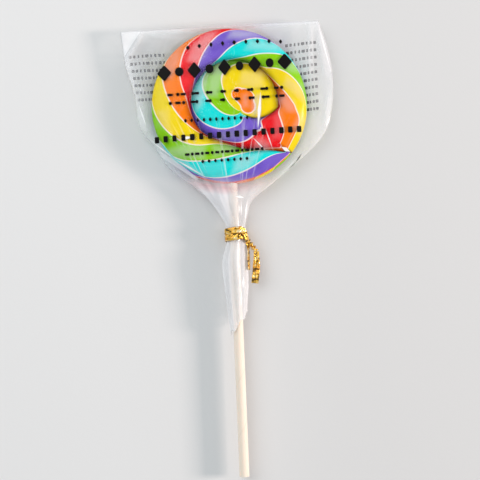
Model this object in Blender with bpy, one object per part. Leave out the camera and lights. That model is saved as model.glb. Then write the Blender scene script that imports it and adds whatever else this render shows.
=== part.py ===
"""Swirl lollipop in a clear bag, tied round the stick with a gold ribbon.

The lollipop lies on its back. The stick runs along Y, with the disc at +Y, and
the shown side faces +Z. The origin is on the flat underside of the bag, below
the centre of the disc. All sizes are in metres.
"""

import math

import bmesh
import bpy

MM = 0.001

# Disc of coiled rope
DISC_RADIUS = 31.5 * MM
REST_HEIGHT = 5.1 * MM
CREST_HEIGHT = 4.5 * MM
GROOVE_HEIGHT = 3.3 * MM
TIP_HEIGHT = 3.5 * MM
EYE_X = 4.64 * MM
EYE_Y = -2.42 * MM
START_ANGLE = math.radians(-41.35)
COLUMN_STEP_DEG = 7.2
COLUMNS_PER_TURN = 50
COLUMNS_TO_GROOVE_END = 52
HALF_ROWS = 4

# Path of the groove round the eye of the coil
GROOVE_CIRCLE_RADIUS = 17.6 * MM
GROOVE_CIRCLE_X = -2.51 * MM
GROOVE_CIRCLE_Y = 2.94 * MM
FLARE_DEPTH = 12.5 * MM
FLARE_LIMIT = 10.1 * MM
FLARE_DECAY_DEG = 19.0
DIP_DEPTH = 1.8 * MM
DIP_CENTRE_DEG = 81.0
DIP_SPREAD_DEG = 28.0
TAPER_START_DEG = 315.0
TAPER_END_DEG = 374.4
FADE_START_DEG = 352.0
RIM_EXPONENT = 2.3
GROOVE_EXPONENT = 2.6
GROOVE_SHARPNESS = 0.8

# Stick
STICK_RADIUS = 2.0 * MM
STICK_LENGTH = 150.0 * MM
STICK_SIDES = 32
STICK_EDGE = 0.2 * MM
FIT_GAP = 0.3 * MM
BORE_OVERSHOOT = 10.0 * MM

# Bag of clear film
FILM = 0.3 * MM
SIDE_FILM = 0.6 * MM
NECK_FILM = 0.35 * MM
BAG_SIDES = 36
EDGE_HALF_THICKNESS = 0.45 * MM
SEAM_Y = 32.6 * MM
INNER_SEAM_Y = 32.0 * MM
INNER_CAP_Y = 31.9 * MM
SEAM_SLOPE = 0.0174
SEAM_SLOPE_END_Y = 10.0 * MM
SEAM_EXPONENT = 8.0
FLAT_RADIUS = 30.5 * MM
DRAPE_END_RADIUS = 40.0 * MM
EDGE_START = 0.85
NECK_START_Y = -24.0 * MM
NECK_END_Y = -40.0 * MM
PLEATS = 6
PLEAT_DEPTH = 0.05
HEM_SLOPE = 1.17
HEM_START_Y = -70.0 * MM
HEM_Y = -88.9 * MM

# Each outline row holds Y, left edge X, right edge X and half height, in millimetres
BAG_OUTLINE = (
    (32.6, -43.0, 37.6, 5.1),
    (18.0, -41.5, 41.6, 5.1),
    (5.4, -38.4, 42.4, 5.1),
    (-7.5, -36.5, 40.4, 5.1),
    (-15.1, -31.2, 36.1, 5.1),
    (-24.7, -25.0, 25.6, 5.1),
    (-32.0, -16.0, 15.8, 4.8),
    (-38.3, -9.4, 7.6, 4.3),
    (-43.7, -5.6, 5.6, 3.9),
    (-48.4, -3.1, 4.3, 3.3),
    (-51.0, -3.0, 4.2, 3.25),
    (-54.6, -3.1, 4.1, 3.3),
    (-62.0, -5.3, 4.5, 3.8),
    (-72.0, -4.9, 4.4, 3.6),
    (-88.9, -3.1, 3.6, 3.2),
)
BAG_STATIONS = (
    32.45, 31.6, 30.0, 27.0, 23.6, 20.0, 16.5, 13.0, 9.5, 6.0, 2.4, -1.2, -4.8, -8.4, -12.0,
    -15.3, -18.6, -21.6, -24.3, -27.0, -29.6, -32.0, -35.0, -38.3, -41.5, -44.8, -48.4, -51.0,
    -54.6, -58.0, -62.0, -67.0, -72.0, -77.0, -82.0, -86.0, -88.9,
)

# Gold ribbon round the neck
RIBBON_WIDTH = 2.65 * MM
RIBBON_THICKNESS = 0.55 * MM
RIBBON_SIDES = 10
BAND_X = 0.6 * MM
BAND_HALF_WIDTH = 4.4 * MM
BAND_HALF_HEIGHT = 4.0 * MM
BAND_UPPER_Y = -49.5 * MM
WRAP_PITCH = 2.95 * MM
WRAP_STEPS = 60
WRAP_START_DEG = -4.0
WRAP_END_DEG = 696.0
LEAD_GROWTH = 0.3
LEAD_IN_DEG = 70.0
LEAD_OUT_DEG = 600.0
LEAD_IN_DROP = 4.6 * MM
TWIST_START = (5.4 * MM, -54.7 * MM, 4.2 * MM)
TWIST_END = (8.5 * MM, -58.9 * MM, 5.4 * MM)
TWIST_TURNS = 1.5
TWIST_WIDTH = 2.3 * MM
TWIST_THICKNESS = 1.2 * MM
TWIST_STEPS = 24
TAIL_STEPS = 12
TAIL_WIDTH = 2.9 * MM
LONG_TAIL_END = (7.4 * MM, -71.9 * MM, 5.6 * MM)
LONG_TAIL_BOW = 1.1 * MM
SHORT_TAIL_START = (5.4 * MM, -55.2 * MM, 5.0 * MM)
SHORT_TAIL_END = (5.3 * MM, -66.4 * MM, 5.6 * MM)
TAIL_TURN_SHARE = 0.3


def clamp(value):
    """Limit a number to the range from nought to one."""
    return max(0.0, min(1.0, value))


def smooth(value):
    """Ease from nought to one with flat ends."""
    t = clamp(value)
    return t * t * (3.0 - 2.0 * t)


def mix(first, second, share):
    """Blend two numbers."""
    return first + (second - first) * share


def material(name, colour, roughness, metallic=0.0, alpha=1.0):
    """Make a plain surface from a linear colour."""
    made = bpy.data.materials.new(name)
    made.use_nodes = True
    shader = made.node_tree.nodes["Principled BSDF"]
    shader.inputs["Base Color"].default_value = (*colour, 1.0)
    shader.inputs["Roughness"].default_value = roughness
    shader.inputs["Metallic"].default_value = metallic
    shader.inputs["Alpha"].default_value = alpha
    return made


def add_object(name, mesh, surface, smooth_angle_deg):
    """Link a mesh as an object with one surface and smooth round faces."""
    mesh.materials.append(surface)
    made = bpy.data.objects.new(name, mesh)
    bpy.context.scene.collection.objects.link(made)
    for face in mesh.polygons:
        face.use_smooth = True
    mesh.set_sharp_from_angle(angle=math.radians(smooth_angle_deg))
    return made


def closed_mesh(name, shape):
    """Turn a closed bmesh into a mesh that faces out."""
    bmesh.ops.recalc_face_normals(shape, faces=shape.faces)
    mesh = bpy.data.meshes.new(name)
    shape.to_mesh(mesh)
    shape.free()
    return mesh


def bridge(shape, first, second):
    """Join two rings of the same count with quads."""
    count = len(first)
    for index in range(count):
        following = (index + 1) % count
        shape.faces.new((first[index], first[following], second[following], second[index]))


def loft(name, rings):
    """Build a closed solid through rings of points with flat ends."""
    shape = bmesh.new()
    placed = [[shape.verts.new(point) for point in ring] for ring in rings]
    for first, second in zip(placed, placed[1:]):
        bridge(shape, first, second)
    shape.faces.new(placed[0])
    shape.faces.new(placed[-1])
    return closed_mesh(name, shape)


def eye_to_circle(angle, circle_x, circle_y, radius):
    """Distance from the eye to a circle centred at an offset from the eye."""
    dx = math.cos(angle)
    dy = math.sin(angle)
    along = circle_x * dx + circle_y * dy
    across = circle_x * dy - circle_y * dx
    return along + math.sqrt(radius * radius - across * across)


def rim_radius(turn_deg):
    """Distance from the eye to the rim of the disc."""
    angle = START_ANGLE - math.radians(turn_deg)
    return eye_to_circle(angle, -EYE_X, -EYE_Y, DISC_RADIUS)


def groove_radius(turn_deg):
    """Distance from the eye to the groove, which runs in from the rim to the eye."""
    if turn_deg <= 0.0:
        return rim_radius(turn_deg)
    angle = START_ANGLE - math.radians(turn_deg)
    base = eye_to_circle(angle, GROOVE_CIRCLE_X, GROOVE_CIRCLE_Y, GROOVE_CIRCLE_RADIUS)
    flare = min(FLARE_LIMIT, FLARE_DEPTH * math.exp(-turn_deg / FLARE_DECAY_DEG))
    dip = DIP_DEPTH * math.exp(-((turn_deg - DIP_CENTRE_DEG) / DIP_SPREAD_DEG) ** 2)
    taper = clamp((TAPER_END_DEG - turn_deg) / (TAPER_END_DEG - TAPER_START_DEG))
    return (base + flare - dip) * taper


def groove_height(turn_deg):
    """Half thickness of the disc along the groove."""
    fade_in = smooth(turn_deg / (1.5 * COLUMN_STEP_DEG))
    fade_out = smooth((turn_deg - FADE_START_DEG) / (TAPER_END_DEG - FADE_START_DEG))
    return mix(GROOVE_HEIGHT * fade_in, CREST_HEIGHT, fade_out)


def rope_height(turn_deg, share):
    """Half thickness of the rope across its width, from -1 inside to 1 outside."""
    crest = mix(TIP_HEIGHT, CREST_HEIGHT, smooth(turn_deg / 30.0))
    side = abs(share)
    if share < 0.0:
        edge = groove_height(turn_deg)
    elif turn_deg < 360.0:
        edge = 0.0
    else:
        edge = groove_height(turn_deg - 360.0)
    fullness = clamp(edge / GROOVE_HEIGHT)
    power = mix(RIM_EXPONENT, GROOVE_EXPONENT, fullness)
    sharpness = mix(1.0 / RIM_EXPONENT, GROOVE_SHARPNESS, fullness)
    return edge + (crest - edge) * max(0.0, 1.0 - side ** power) ** sharpness


def candy_grid(shape):
    """Vertices of the coil in columns, each with an upper and a lower line."""
    shares = [math.sin(math.pi / 2.0 * row / HALF_ROWS) for row in range(-HALF_ROWS, HALF_ROWS + 1)]
    last = len(shares) - 1
    eye = [shape.verts.new((EYE_X, EYE_Y, REST_HEIGHT + side * CREST_HEIGHT)) for side in (1, -1)]
    rim = rim_radius(0.0)
    tip = shape.verts.new((
        EYE_X + rim * math.cos(START_ANGLE), EYE_Y + rim * math.sin(START_ANGLE), REST_HEIGHT,
    ))
    grid = [[[tip] * len(shares) for _ in eye]]
    for column in range(1, COLUMNS_PER_TURN + COLUMNS_TO_GROOVE_END):
        turn = column * COLUMN_STEP_DEG
        angle = START_ANGLE - math.radians(turn)
        outer_turn = column < COLUMNS_PER_TURN
        inner = groove_radius(turn)
        outer = rim_radius(turn) if outer_turn else groove_radius(turn - 360.0)
        pair = []
        for layer, side in enumerate((1, -1)):
            line = []
            for row, share in enumerate(shares):
                if row == last and not outer_turn:
                    line.append(grid[column - COLUMNS_PER_TURN][layer][0])
                elif row == last and layer == 1:
                    line.append(pair[0][last])
                elif row == 0 and column >= COLUMNS_TO_GROOVE_END:
                    line.append(eye[layer])
                else:
                    radius = mix(inner, outer, (share + 1.0) / 2.0)
                    line.append(shape.verts.new((
                        EYE_X + radius * math.cos(angle), EYE_Y + radius * math.sin(angle),
                        REST_HEIGHT + side * rope_height(turn, share),
                    )))
            pair.append(line)
        grid.append(pair)
    grid.append([[eye[layer]] * len(shares) for layer in (0, 1)])
    return grid


def build_candy(surface):
    """Build the disc as one rope coiled round the eye and fused along the groove."""
    shape = bmesh.new()
    grid = candy_grid(shape)
    for first, second in zip(grid, grid[1:]):
        for layer in (0, 1):
            lines = list(zip(first[layer], second[layer]))
            for (near, near_next), (far, far_next) in zip(lines, lines[1:]):
                corners = list(dict.fromkeys((near, far, far_next, near_next)))
                if len(corners) > 2:
                    shape.faces.new(corners)
    candy = add_object("candy", closed_mesh("candy", shape), surface, 50.0)
    add_bore(candy)
    return candy


def cylinder_rings(radius, start_y, end_y, edge, sides):
    """Rings of a bar along Y with narrow slanted edges."""
    rings = []
    for y, ring_radius in (
        (start_y, radius - edge), (start_y + edge, radius),
        (end_y - edge, radius), (end_y, radius - edge),
    ):
        ring = []
        for index in range(sides):
            angle = 2.0 * math.pi * index / sides
            ring.append((
                ring_radius * math.cos(angle), y, REST_HEIGHT + ring_radius * math.sin(angle),
            ))
        rings.append(ring)
    return rings


def cut_or_join(target, operand, operation):
    """Combine two solids and keep the second as a hidden helper."""
    change = target.modifiers.new(operation.lower(), "BOOLEAN")
    change.operation = operation
    change.solver = "EXACT"
    change.object = operand
    operand.hide_render = True
    operand.display_type = "WIRE"


def add_bore(candy):
    """Cut the blind hole that holds the stick."""
    rings = cylinder_rings(
        STICK_RADIUS + FIT_GAP, -DISC_RADIUS - BORE_OVERSHOOT, FIT_GAP, STICK_EDGE, STICK_SIDES,
    )
    helper = add_object("bore_cutter", loft("bore_cutter", rings), candy.data.materials[0], 30.0)
    cut_or_join(candy, helper, "DIFFERENCE")


def build_stick(surface):
    """Build the straight stick from the centre of the disc to its free end."""
    rings = cylinder_rings(STICK_RADIUS, -STICK_LENGTH, 0.0, STICK_EDGE, STICK_SIDES)
    return add_object("stick", loft("stick", rings), surface, 30.0)


def outline_at(y):
    """Left edge, right edge and half height of the bag at one place along Y."""
    y_mm = y / MM
    rows = BAG_OUTLINE
    for index in range(len(rows) - 1):
        upper = rows[index]
        lower = rows[index + 1]
        if y_mm >= lower[0] or index == len(rows) - 2:
            before = rows[max(0, index - 1)]
            after = rows[min(len(rows) - 1, index + 2)]
            span = lower[0] - upper[0]
            share = (y_mm - upper[0]) / span
            values = []
            for item in range(1, len(upper)):
                slope_upper = (lower[item] - before[item]) / (lower[0] - before[0]) * span
                slope_lower = (after[item] - upper[item]) / (after[0] - upper[0]) * span
                if index == 0:
                    slope_upper = lower[item] - upper[item]
                s2 = share * share
                s3 = s2 * share
                values.append(
                    (2.0 * s3 - 3.0 * s2 + 1.0) * upper[item] + (s3 - 2.0 * s2 + share) * slope_upper
                    + (3.0 * s2 - 2.0 * s3) * lower[item] + (s3 - s2) * slope_lower
                )
            return [value * MM for value in values]
    raise ValueError("The place lies outside the outline")


def bag_ring(y, inside):
    """One ring of the bag, on the outside of the film or on its inside."""
    left, right, half_height = outline_at(y)
    neck = smooth((NECK_START_Y - y) / (NECK_START_Y - NECK_END_Y))
    half_width = (right - left) / 2.0
    centre = (right + left) / 2.0
    seam = INNER_SEAM_Y if inside else SEAM_Y
    closing = max(0.0, 1.0 - (max(0.0, y) / seam) ** SEAM_EXPONENT) ** (1.0 / SEAM_EXPONENT)
    film = FILM if inside else 0.0
    if inside:
        half_width -= mix(SIDE_FILM, NECK_FILM, neck)
    seam_share = smooth((y - SEAM_SLOPE_END_Y) / (SEAM_Y - SEAM_SLOPE_END_Y))
    hem_share = smooth((HEM_START_Y - y) / (HEM_START_Y - HEM_Y))
    ring = []
    half = BAG_SIDES // 2
    for index in range(BAG_SIDES):
        angle = 2.0 * math.pi * index / BAG_SIDES
        even = 1.0 - 2.0 * index / half if index <= half else 2.0 * (index - half) / half - 1.0
        across = mix(even, math.cos(angle), neck)
        upward = 1.0 if 0 < index < half else -1.0
        if index in (0, half):
            upward = 0.0
        pleat = 1.0 + PLEAT_DEPTH * neck * math.cos(PLEATS * angle + 1.0)
        x = centre + half_width * across * pleat
        reach = math.hypot(x, y)
        drape = clamp((DRAPE_END_RADIUS - reach) / (DRAPE_END_RADIUS - FLAT_RADIUS))
        edge_share = clamp((abs(across) - EDGE_START) / (1.0 - EDGE_START))
        rounding = math.sqrt(1.0 - edge_share * edge_share)
        full = REST_HEIGHT - EDGE_HALF_THICKNESS
        pouch = (EDGE_HALF_THICKNESS - film + full * drape * closing) * rounding
        tube = (half_height - film) * math.sqrt(max(0.0, 1.0 - across * across)) * pleat
        height = mix(pouch, tube, neck)
        shifted = y + SEAM_SLOPE * x * seam_share + HEM_SLOPE * (x - centre) * hem_share
        ring.append((x, shifted, REST_HEIGHT + upward * height))
    return ring


def build_bag(surface):
    """Build the film as a thin skin, closed at the seam and open at the hem."""
    shape = bmesh.new()
    stations = [y * MM for y in BAG_STATIONS]
    outer = [bag_ring(y, False) for y in [SEAM_Y] + stations]
    inner = [bag_ring(y, True) for y in [INNER_CAP_Y] + stations[1:]]
    skins = []
    for rings in (outer, inner):
        placed = [[shape.verts.new(point) for point in ring] for ring in rings]
        for first, second in zip(placed, placed[1:]):
            bridge(shape, first, second)
        shape.faces.new(placed[0])
        skins.append(placed[-1])
    bridge(shape, skins[0], skins[1])
    return add_object("bag", closed_mesh("bag", shape), surface, 40.0)


def vector(start, end):
    """Difference of two points."""
    return [b - a for a, b in zip(start, end)]


def unit(direction):
    """Scale a direction to length one."""
    length = math.sqrt(sum(part * part for part in direction))
    return [part / length for part in direction]


def cross(a, b):
    """Vector product."""
    return [a[1] * b[2] - a[2] * b[1], a[2] * b[0] - a[0] * b[2], a[0] * b[1] - a[1] * b[0]]


def ribbon_rings(centres, facings, widths, thicknesses):
    """Flat oval rings along a path; each facing points out of the ribbon's flat side."""
    rings = []
    for index, centre in enumerate(centres):
        before = centres[max(0, index - 1)]
        after = centres[min(len(centres) - 1, index + 1)]
        along = unit(vector(before, after))
        across = unit(cross(along, facings[index]))
        upward = unit(cross(across, along))
        ring = []
        for corner in range(RIBBON_SIDES):
            angle = 2.0 * math.pi * corner / RIBBON_SIDES
            side = math.copysign(abs(math.cos(angle)) ** 0.7, math.cos(angle)) * widths[index] / 2.0
            lift = math.sin(angle) * thicknesses[index] / 2.0
            ring.append([c + side * a + lift * u for c, a, u in zip(centre, across, upward)])
        rings.append(ring)
    return rings


def wrap_rings():
    """Two turns round the neck, with both ends led out to the twist."""
    centres = []
    facings = []
    for step in range(WRAP_STEPS + 1):
        turn = mix(WRAP_START_DEG, WRAP_END_DEG, step / WRAP_STEPS)
        angle = math.radians(turn)
        lead_in = 1.0 - smooth((turn - WRAP_START_DEG) / (LEAD_IN_DEG - WRAP_START_DEG))
        lead_out = smooth((turn - LEAD_OUT_DEG) / (WRAP_END_DEG - LEAD_OUT_DEG))
        size = 1.0 + LEAD_GROWTH * max(smooth(2.5 * lead_in), lead_out)
        y = BAND_UPPER_Y - WRAP_PITCH * turn / 360.0
        y -= LEAD_IN_DROP * smooth(1.4 * lead_in)
        x = BAND_X + BAND_HALF_WIDTH * size * math.cos(angle)
        z = REST_HEIGHT + BAND_HALF_HEIGHT * size * math.sin(angle)
        centres.append((x, y, z))
        facings.append((BAND_HALF_HEIGHT * math.cos(angle), 0.0, BAND_HALF_WIDTH * math.sin(angle)))
    count = len(centres)
    return ribbon_rings(centres, facings, [RIBBON_WIDTH] * count, [RIBBON_THICKNESS] * count)


def twist_rings():
    """The two ends wound round each other as one twisted bar."""
    along = unit(vector(TWIST_START, TWIST_END))
    side = unit(cross(along, (0.0, 0.0, 1.0)))
    up = cross(side, along)
    centres = []
    facings = []
    for step in range(TWIST_STEPS + 1):
        share = step / TWIST_STEPS
        angle = 2.0 * math.pi * TWIST_TURNS * share
        centres.append([mix(a, b, share) for a, b in zip(TWIST_START, TWIST_END)])
        facings.append([math.cos(angle) * u + math.sin(angle) * s for u, s in zip(up, side)])
    count = len(centres)
    return ribbon_rings(centres, facings, [TWIST_WIDTH] * count, [TWIST_THICKNESS] * count)


def tail_rings(start, end, bow, first_facing, last_facing):
    """A loose end that leaves the twist and turns to its own facing."""
    centres = []
    facings = []
    widths = []
    for step in range(TAIL_STEPS + 1):
        share = step / TAIL_STEPS
        point = [mix(a, b, share) for a, b in zip(start, end)]
        point[0] += bow * math.sin(math.pi * share)
        centres.append(point)
        turn = smooth(share / TAIL_TURN_SHARE)
        facings.append([mix(a, b, turn) for a, b in zip(first_facing, last_facing)])
        widths.append(mix(TWIST_WIDTH, TAIL_WIDTH, smooth(2.0 * share)))
    return ribbon_rings(centres, facings, widths, [RIBBON_THICKNESS] * len(centres))


def build_tie(surface):
    """Build the ribbon: two wraps, the twist and two loose ends in one solid."""
    tie = add_object("tie", loft("tie", wrap_rings()), surface, 40.0)
    facing_up = (0.0, 0.0, 1.0)
    facing_right = (1.0, 0.0, 0.1)
    pieces = (
        ("tie_twist", twist_rings()),
        ("tie_long_tail", tail_rings(TWIST_END, LONG_TAIL_END, LONG_TAIL_BOW, (0.3, 0.0, 1.0), facing_up)),
        ("tie_short_tail", tail_rings(SHORT_TAIL_START, SHORT_TAIL_END, 0.0, (0.5, 0.0, 1.0), facing_right)),
    )
    for name, rings in pieces:
        helper = add_object(name, loft(name, rings), surface, 40.0)
        cut_or_join(tie, helper, "UNION")
    return tie


def main():
    """Clear the scene and build every piece."""
    for old in list(bpy.data.objects):
        bpy.data.objects.remove(old)
    build_candy(material("candy_sugar", (0.95, 0.22, 0.02), 0.25))
    build_stick(material("white_paper", (0.90, 0.85, 0.74), 0.6))
    build_bag(material("clear_film", (0.86, 0.88, 0.88), 0.12, alpha=0.35))
    build_tie(material("gold_foil", (0.80, 0.46, 0.06), 0.28, metallic=1.0))


main()
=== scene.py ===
"""Swirl lollipop in a clear bag, tied round its stick with a gold ribbon.

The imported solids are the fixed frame. The candy, the bag and the ribbon get finer pieces of the
same form, the stick keeps its solid, and every surface has a finish made of nodes. All sizes are
in metres. The stick runs along Y with the disc at +Y, and the shown side faces +Z.
"""

import logging
import math
from collections.abc import Iterable, Iterator, Mapping, Sequence
from dataclasses import dataclass, fields
from enum import Enum
from typing import Any, Union

import bmesh
import bpy
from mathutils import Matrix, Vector


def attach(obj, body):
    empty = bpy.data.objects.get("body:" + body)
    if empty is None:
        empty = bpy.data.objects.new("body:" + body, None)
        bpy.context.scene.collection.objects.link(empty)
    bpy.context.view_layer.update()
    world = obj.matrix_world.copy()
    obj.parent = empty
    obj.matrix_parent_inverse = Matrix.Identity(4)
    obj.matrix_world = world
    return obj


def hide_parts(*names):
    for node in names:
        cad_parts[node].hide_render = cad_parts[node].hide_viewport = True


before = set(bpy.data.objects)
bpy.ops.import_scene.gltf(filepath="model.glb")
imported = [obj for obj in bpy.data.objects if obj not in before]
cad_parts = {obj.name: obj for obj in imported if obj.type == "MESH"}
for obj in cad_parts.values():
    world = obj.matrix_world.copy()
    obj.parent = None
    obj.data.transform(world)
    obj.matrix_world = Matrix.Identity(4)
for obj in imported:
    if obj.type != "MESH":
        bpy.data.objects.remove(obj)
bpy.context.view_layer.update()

LOG = logging.getLogger("lollipop")
MM = 0.001
BODY = "root"
MIDDLE_HEIGHT = 5.1 * MM
FULL_TURN = 360.0
Flat = tuple[float, float]
Point = tuple[float, float, float]
Colour = tuple[float, float, float, float]
Number = Union[float, "Field"]


def clamp(value: float) -> float:
    """Limit a number to the range from nought to one."""
    return max(0.0, min(1.0, value))


def smooth(value: float) -> float:
    """Ease from nought to one with flat ends."""
    t = clamp(value)
    return t * t * (3.0 - 2.0 * t)


def mix(first: float, second: float, share: float) -> float:
    """Blend two numbers."""
    return first + (second - first) * share


def tint(code: str) -> Colour:
    """Turn a six-digit screen colour into linear light.

    Args:
        code: Red, green and blue as two hexadecimal digits each.

    Returns:
        The colour as linear red, green, blue and a full alpha.
    """
    parts = [int(code[at:at + 2], 16) / 255.0 for at in (0, 2, 4)]
    linear = [p / 12.92 if p <= 0.04045 else ((p + 0.055) / 1.055) ** 2.4 for p in parts]
    return (linear[0], linear[1], linear[2], 1.0)


class Field:
    """A number that nodes work out, which joins others with the usual signs."""

    def __init__(self, graph: "Graph", socket: bpy.types.NodeSocket) -> None:
        """Wrap one output socket of a graph."""
        self.graph = graph
        self.socket = socket

    def maths(self, operation: str, *others: Number) -> "Field":
        """Put this number through a Math node.

        Args:
            operation: The node's operation.
            others: Its second and third values.

        Returns:
            The node's result.
        """
        return self.graph.maths(operation, self, *others)

    def __add__(self, other: Number) -> "Field":
        """Sum."""
        return self.maths("ADD", other)

    def __radd__(self, other: Number) -> "Field":
        """Sum with a plain number first."""
        return self.graph.maths("ADD", other, self)

    def __sub__(self, other: Number) -> "Field":
        """Difference."""
        return self.maths("SUBTRACT", other)

    def __rsub__(self, other: Number) -> "Field":
        """Difference from a plain number."""
        return self.graph.maths("SUBTRACT", other, self)

    def __mul__(self, other: Number) -> "Field":
        """Product."""
        return self.maths("MULTIPLY", other)

    def __rmul__(self, other: Number) -> "Field":
        """Product with a plain number first."""
        return self.graph.maths("MULTIPLY", other, self)

    def __truediv__(self, other: Number) -> "Field":
        """Quotient."""
        return self.maths("DIVIDE", other)

    def __rtruediv__(self, other: Number) -> "Field":
        """Quotient of a plain number."""
        return self.graph.maths("DIVIDE", other, self)

    def __pow__(self, other: Number) -> "Field":
        """Power."""
        return self.maths("POWER", other)

    def above(self, other: Number) -> "Field":
        """One where this number is the greater, else nought."""
        return self.maths("GREATER_THAN", other)

    def least(self, other: Number) -> "Field":
        """The smaller of two numbers."""
        return self.maths("MINIMUM", other)

    def most(self, other: Number) -> "Field":
        """The larger of two numbers."""
        return self.maths("MAXIMUM", other)

    def size(self) -> "Field":
        """The number without its sign."""
        return self.maths("ABSOLUTE")

    def clamped(self) -> "Field":
        """The number limited to the range from nought to one."""
        return self.most(0.0).least(1.0)

    def eased(self) -> "Field":
        """The number eased from nought to one with flat ends."""
        t = self.clamped()
        return t * t * (3.0 - 2.0 * t)


class Graph:
    """A node tree with short ways to add to it."""

    def __init__(self, tree: bpy.types.NodeTree) -> None:
        """Wrap one node tree."""
        self.tree = tree

    def node(
        self,
        kind: str,
        settings: Mapping[str, Any] | None = None,
        sockets: Mapping[str | int, Any] | None = None,
    ) -> bpy.types.Node:
        """Add one node.

        Args:
            kind: The node's type.
            settings: Its properties, which are set first. "stops" are a ramp's places and
                colours, "blend" is its way between them, and "points" are a curve's points.
            sockets: Values or links of its input sockets, by name or place.

        Returns:
            The new node.
        """
        made = self.tree.nodes.new(kind)
        for name, value in (settings or {}).items():
            if name == "stops":
                self.set_stops(made.color_ramp, value)
            elif name == "points":
                self.set_points(made, value)
            elif name == "blend":
                made.color_ramp.interpolation = value
            else:
                setattr(made, name, value)
        for name, value in (sockets or {}).items():
            self.feed(made.inputs[name], value)
        return made

    @staticmethod
    def set_stops(ramp: bpy.types.ColorRamp, stops: Sequence[tuple[float, Colour]]) -> None:
        """Fill a colour ramp.

        Args:
            ramp: The ramp to fill.
            stops: Places from nought to one, each with its colour.
        """
        while len(ramp.elements) > 1:
            ramp.elements.remove(ramp.elements[-1])
        ramp.elements[0].position, ramp.elements[0].color = stops[0]
        for place, colour in stops[1:]:
            ramp.elements.new(place).color = colour

    @staticmethod
    def set_points(made: bpy.types.Node, points: Sequence[tuple[float, float]]) -> None:
        """Fill a curve that never overshoots its points.

        Args:
            made: The curve node.
            points: Places and heights from nought to one.
        """
        curve = made.mapping.curves[0]
        curve.points[0].location = points[0]
        curve.points[-1].location = points[-1]
        for point in points[1:-1]:
            curve.points.new(*point)
        for point in curve.points:
            point.handle_type = "AUTO_CLAMPED"
        made.mapping.update()

    def feed(self, socket: bpy.types.NodeSocket, value: Any) -> None:
        """Link a socket, or set its plain value."""
        if isinstance(value, Field):
            self.tree.links.new(value.socket, socket)
        elif isinstance(value, bpy.types.NodeSocket):
            self.tree.links.new(value, socket)
        else:
            socket.default_value = value

    def maths(self, operation: str, *values: Number) -> Field:
        """Add a Math node.

        Args:
            operation: The node's operation.
            values: One to three numbers.

        Returns:
            The node's result.
        """
        made = self.node("ShaderNodeMath", {"operation": operation}, dict(enumerate(values)))
        return Field(self, made.outputs[0])

    def choose(self, share: Number, first: Number, second: Number) -> Field:
        """Blend two numbers by a share from nought to one."""
        return first + (second - first) * share

    def parts(self, vector: Any) -> tuple[Field, Field, Field]:
        """Split a vector into its three numbers."""
        made = self.node("ShaderNodeSeparateXYZ", sockets={0: vector})
        return tuple(Field(self, socket) for socket in made.outputs)

    def joined(self, x: Number, y: Number, z: Number) -> bpy.types.NodeSocket:
        """Make a vector of three numbers."""
        return self.node("ShaderNodeCombineXYZ", sockets={0: x, 1: y, 2: z}).outputs[0]

    def blended(self, share: Number, first: Any, second: Any, manner: str = "MIX") -> bpy.types.NodeSocket:
        """Blend two colours.

        Args:
            share: How much of the second colour shows.
            first: A colour or a colour socket.
            second: A colour or a colour socket.
            manner: The way of blending.

        Returns:
            The blended colour.
        """
        made = self.node(
            "ShaderNodeMix", {"data_type": "RGBA", "blend_type": manner}, {0: share, 6: first, 7: second},
        )
        return made.outputs[2]

    def noise(self, place: Any, scale: float, detail: float = 2.0, roughness: float = 0.5) -> Field:
        """Soft random pattern.

        Args:
            place: The coordinates.
            scale: Waves a metre.
            detail: Number of finer layers.
            roughness: Strength of the finer layers.

        Returns:
            Values round one half.
        """
        made = self.node(
            "ShaderNodeTexNoise", None,
            {"Vector": place, "Scale": scale, "Detail": detail, "Roughness": roughness},
        )
        return Field(self, made.outputs[0])


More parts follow.
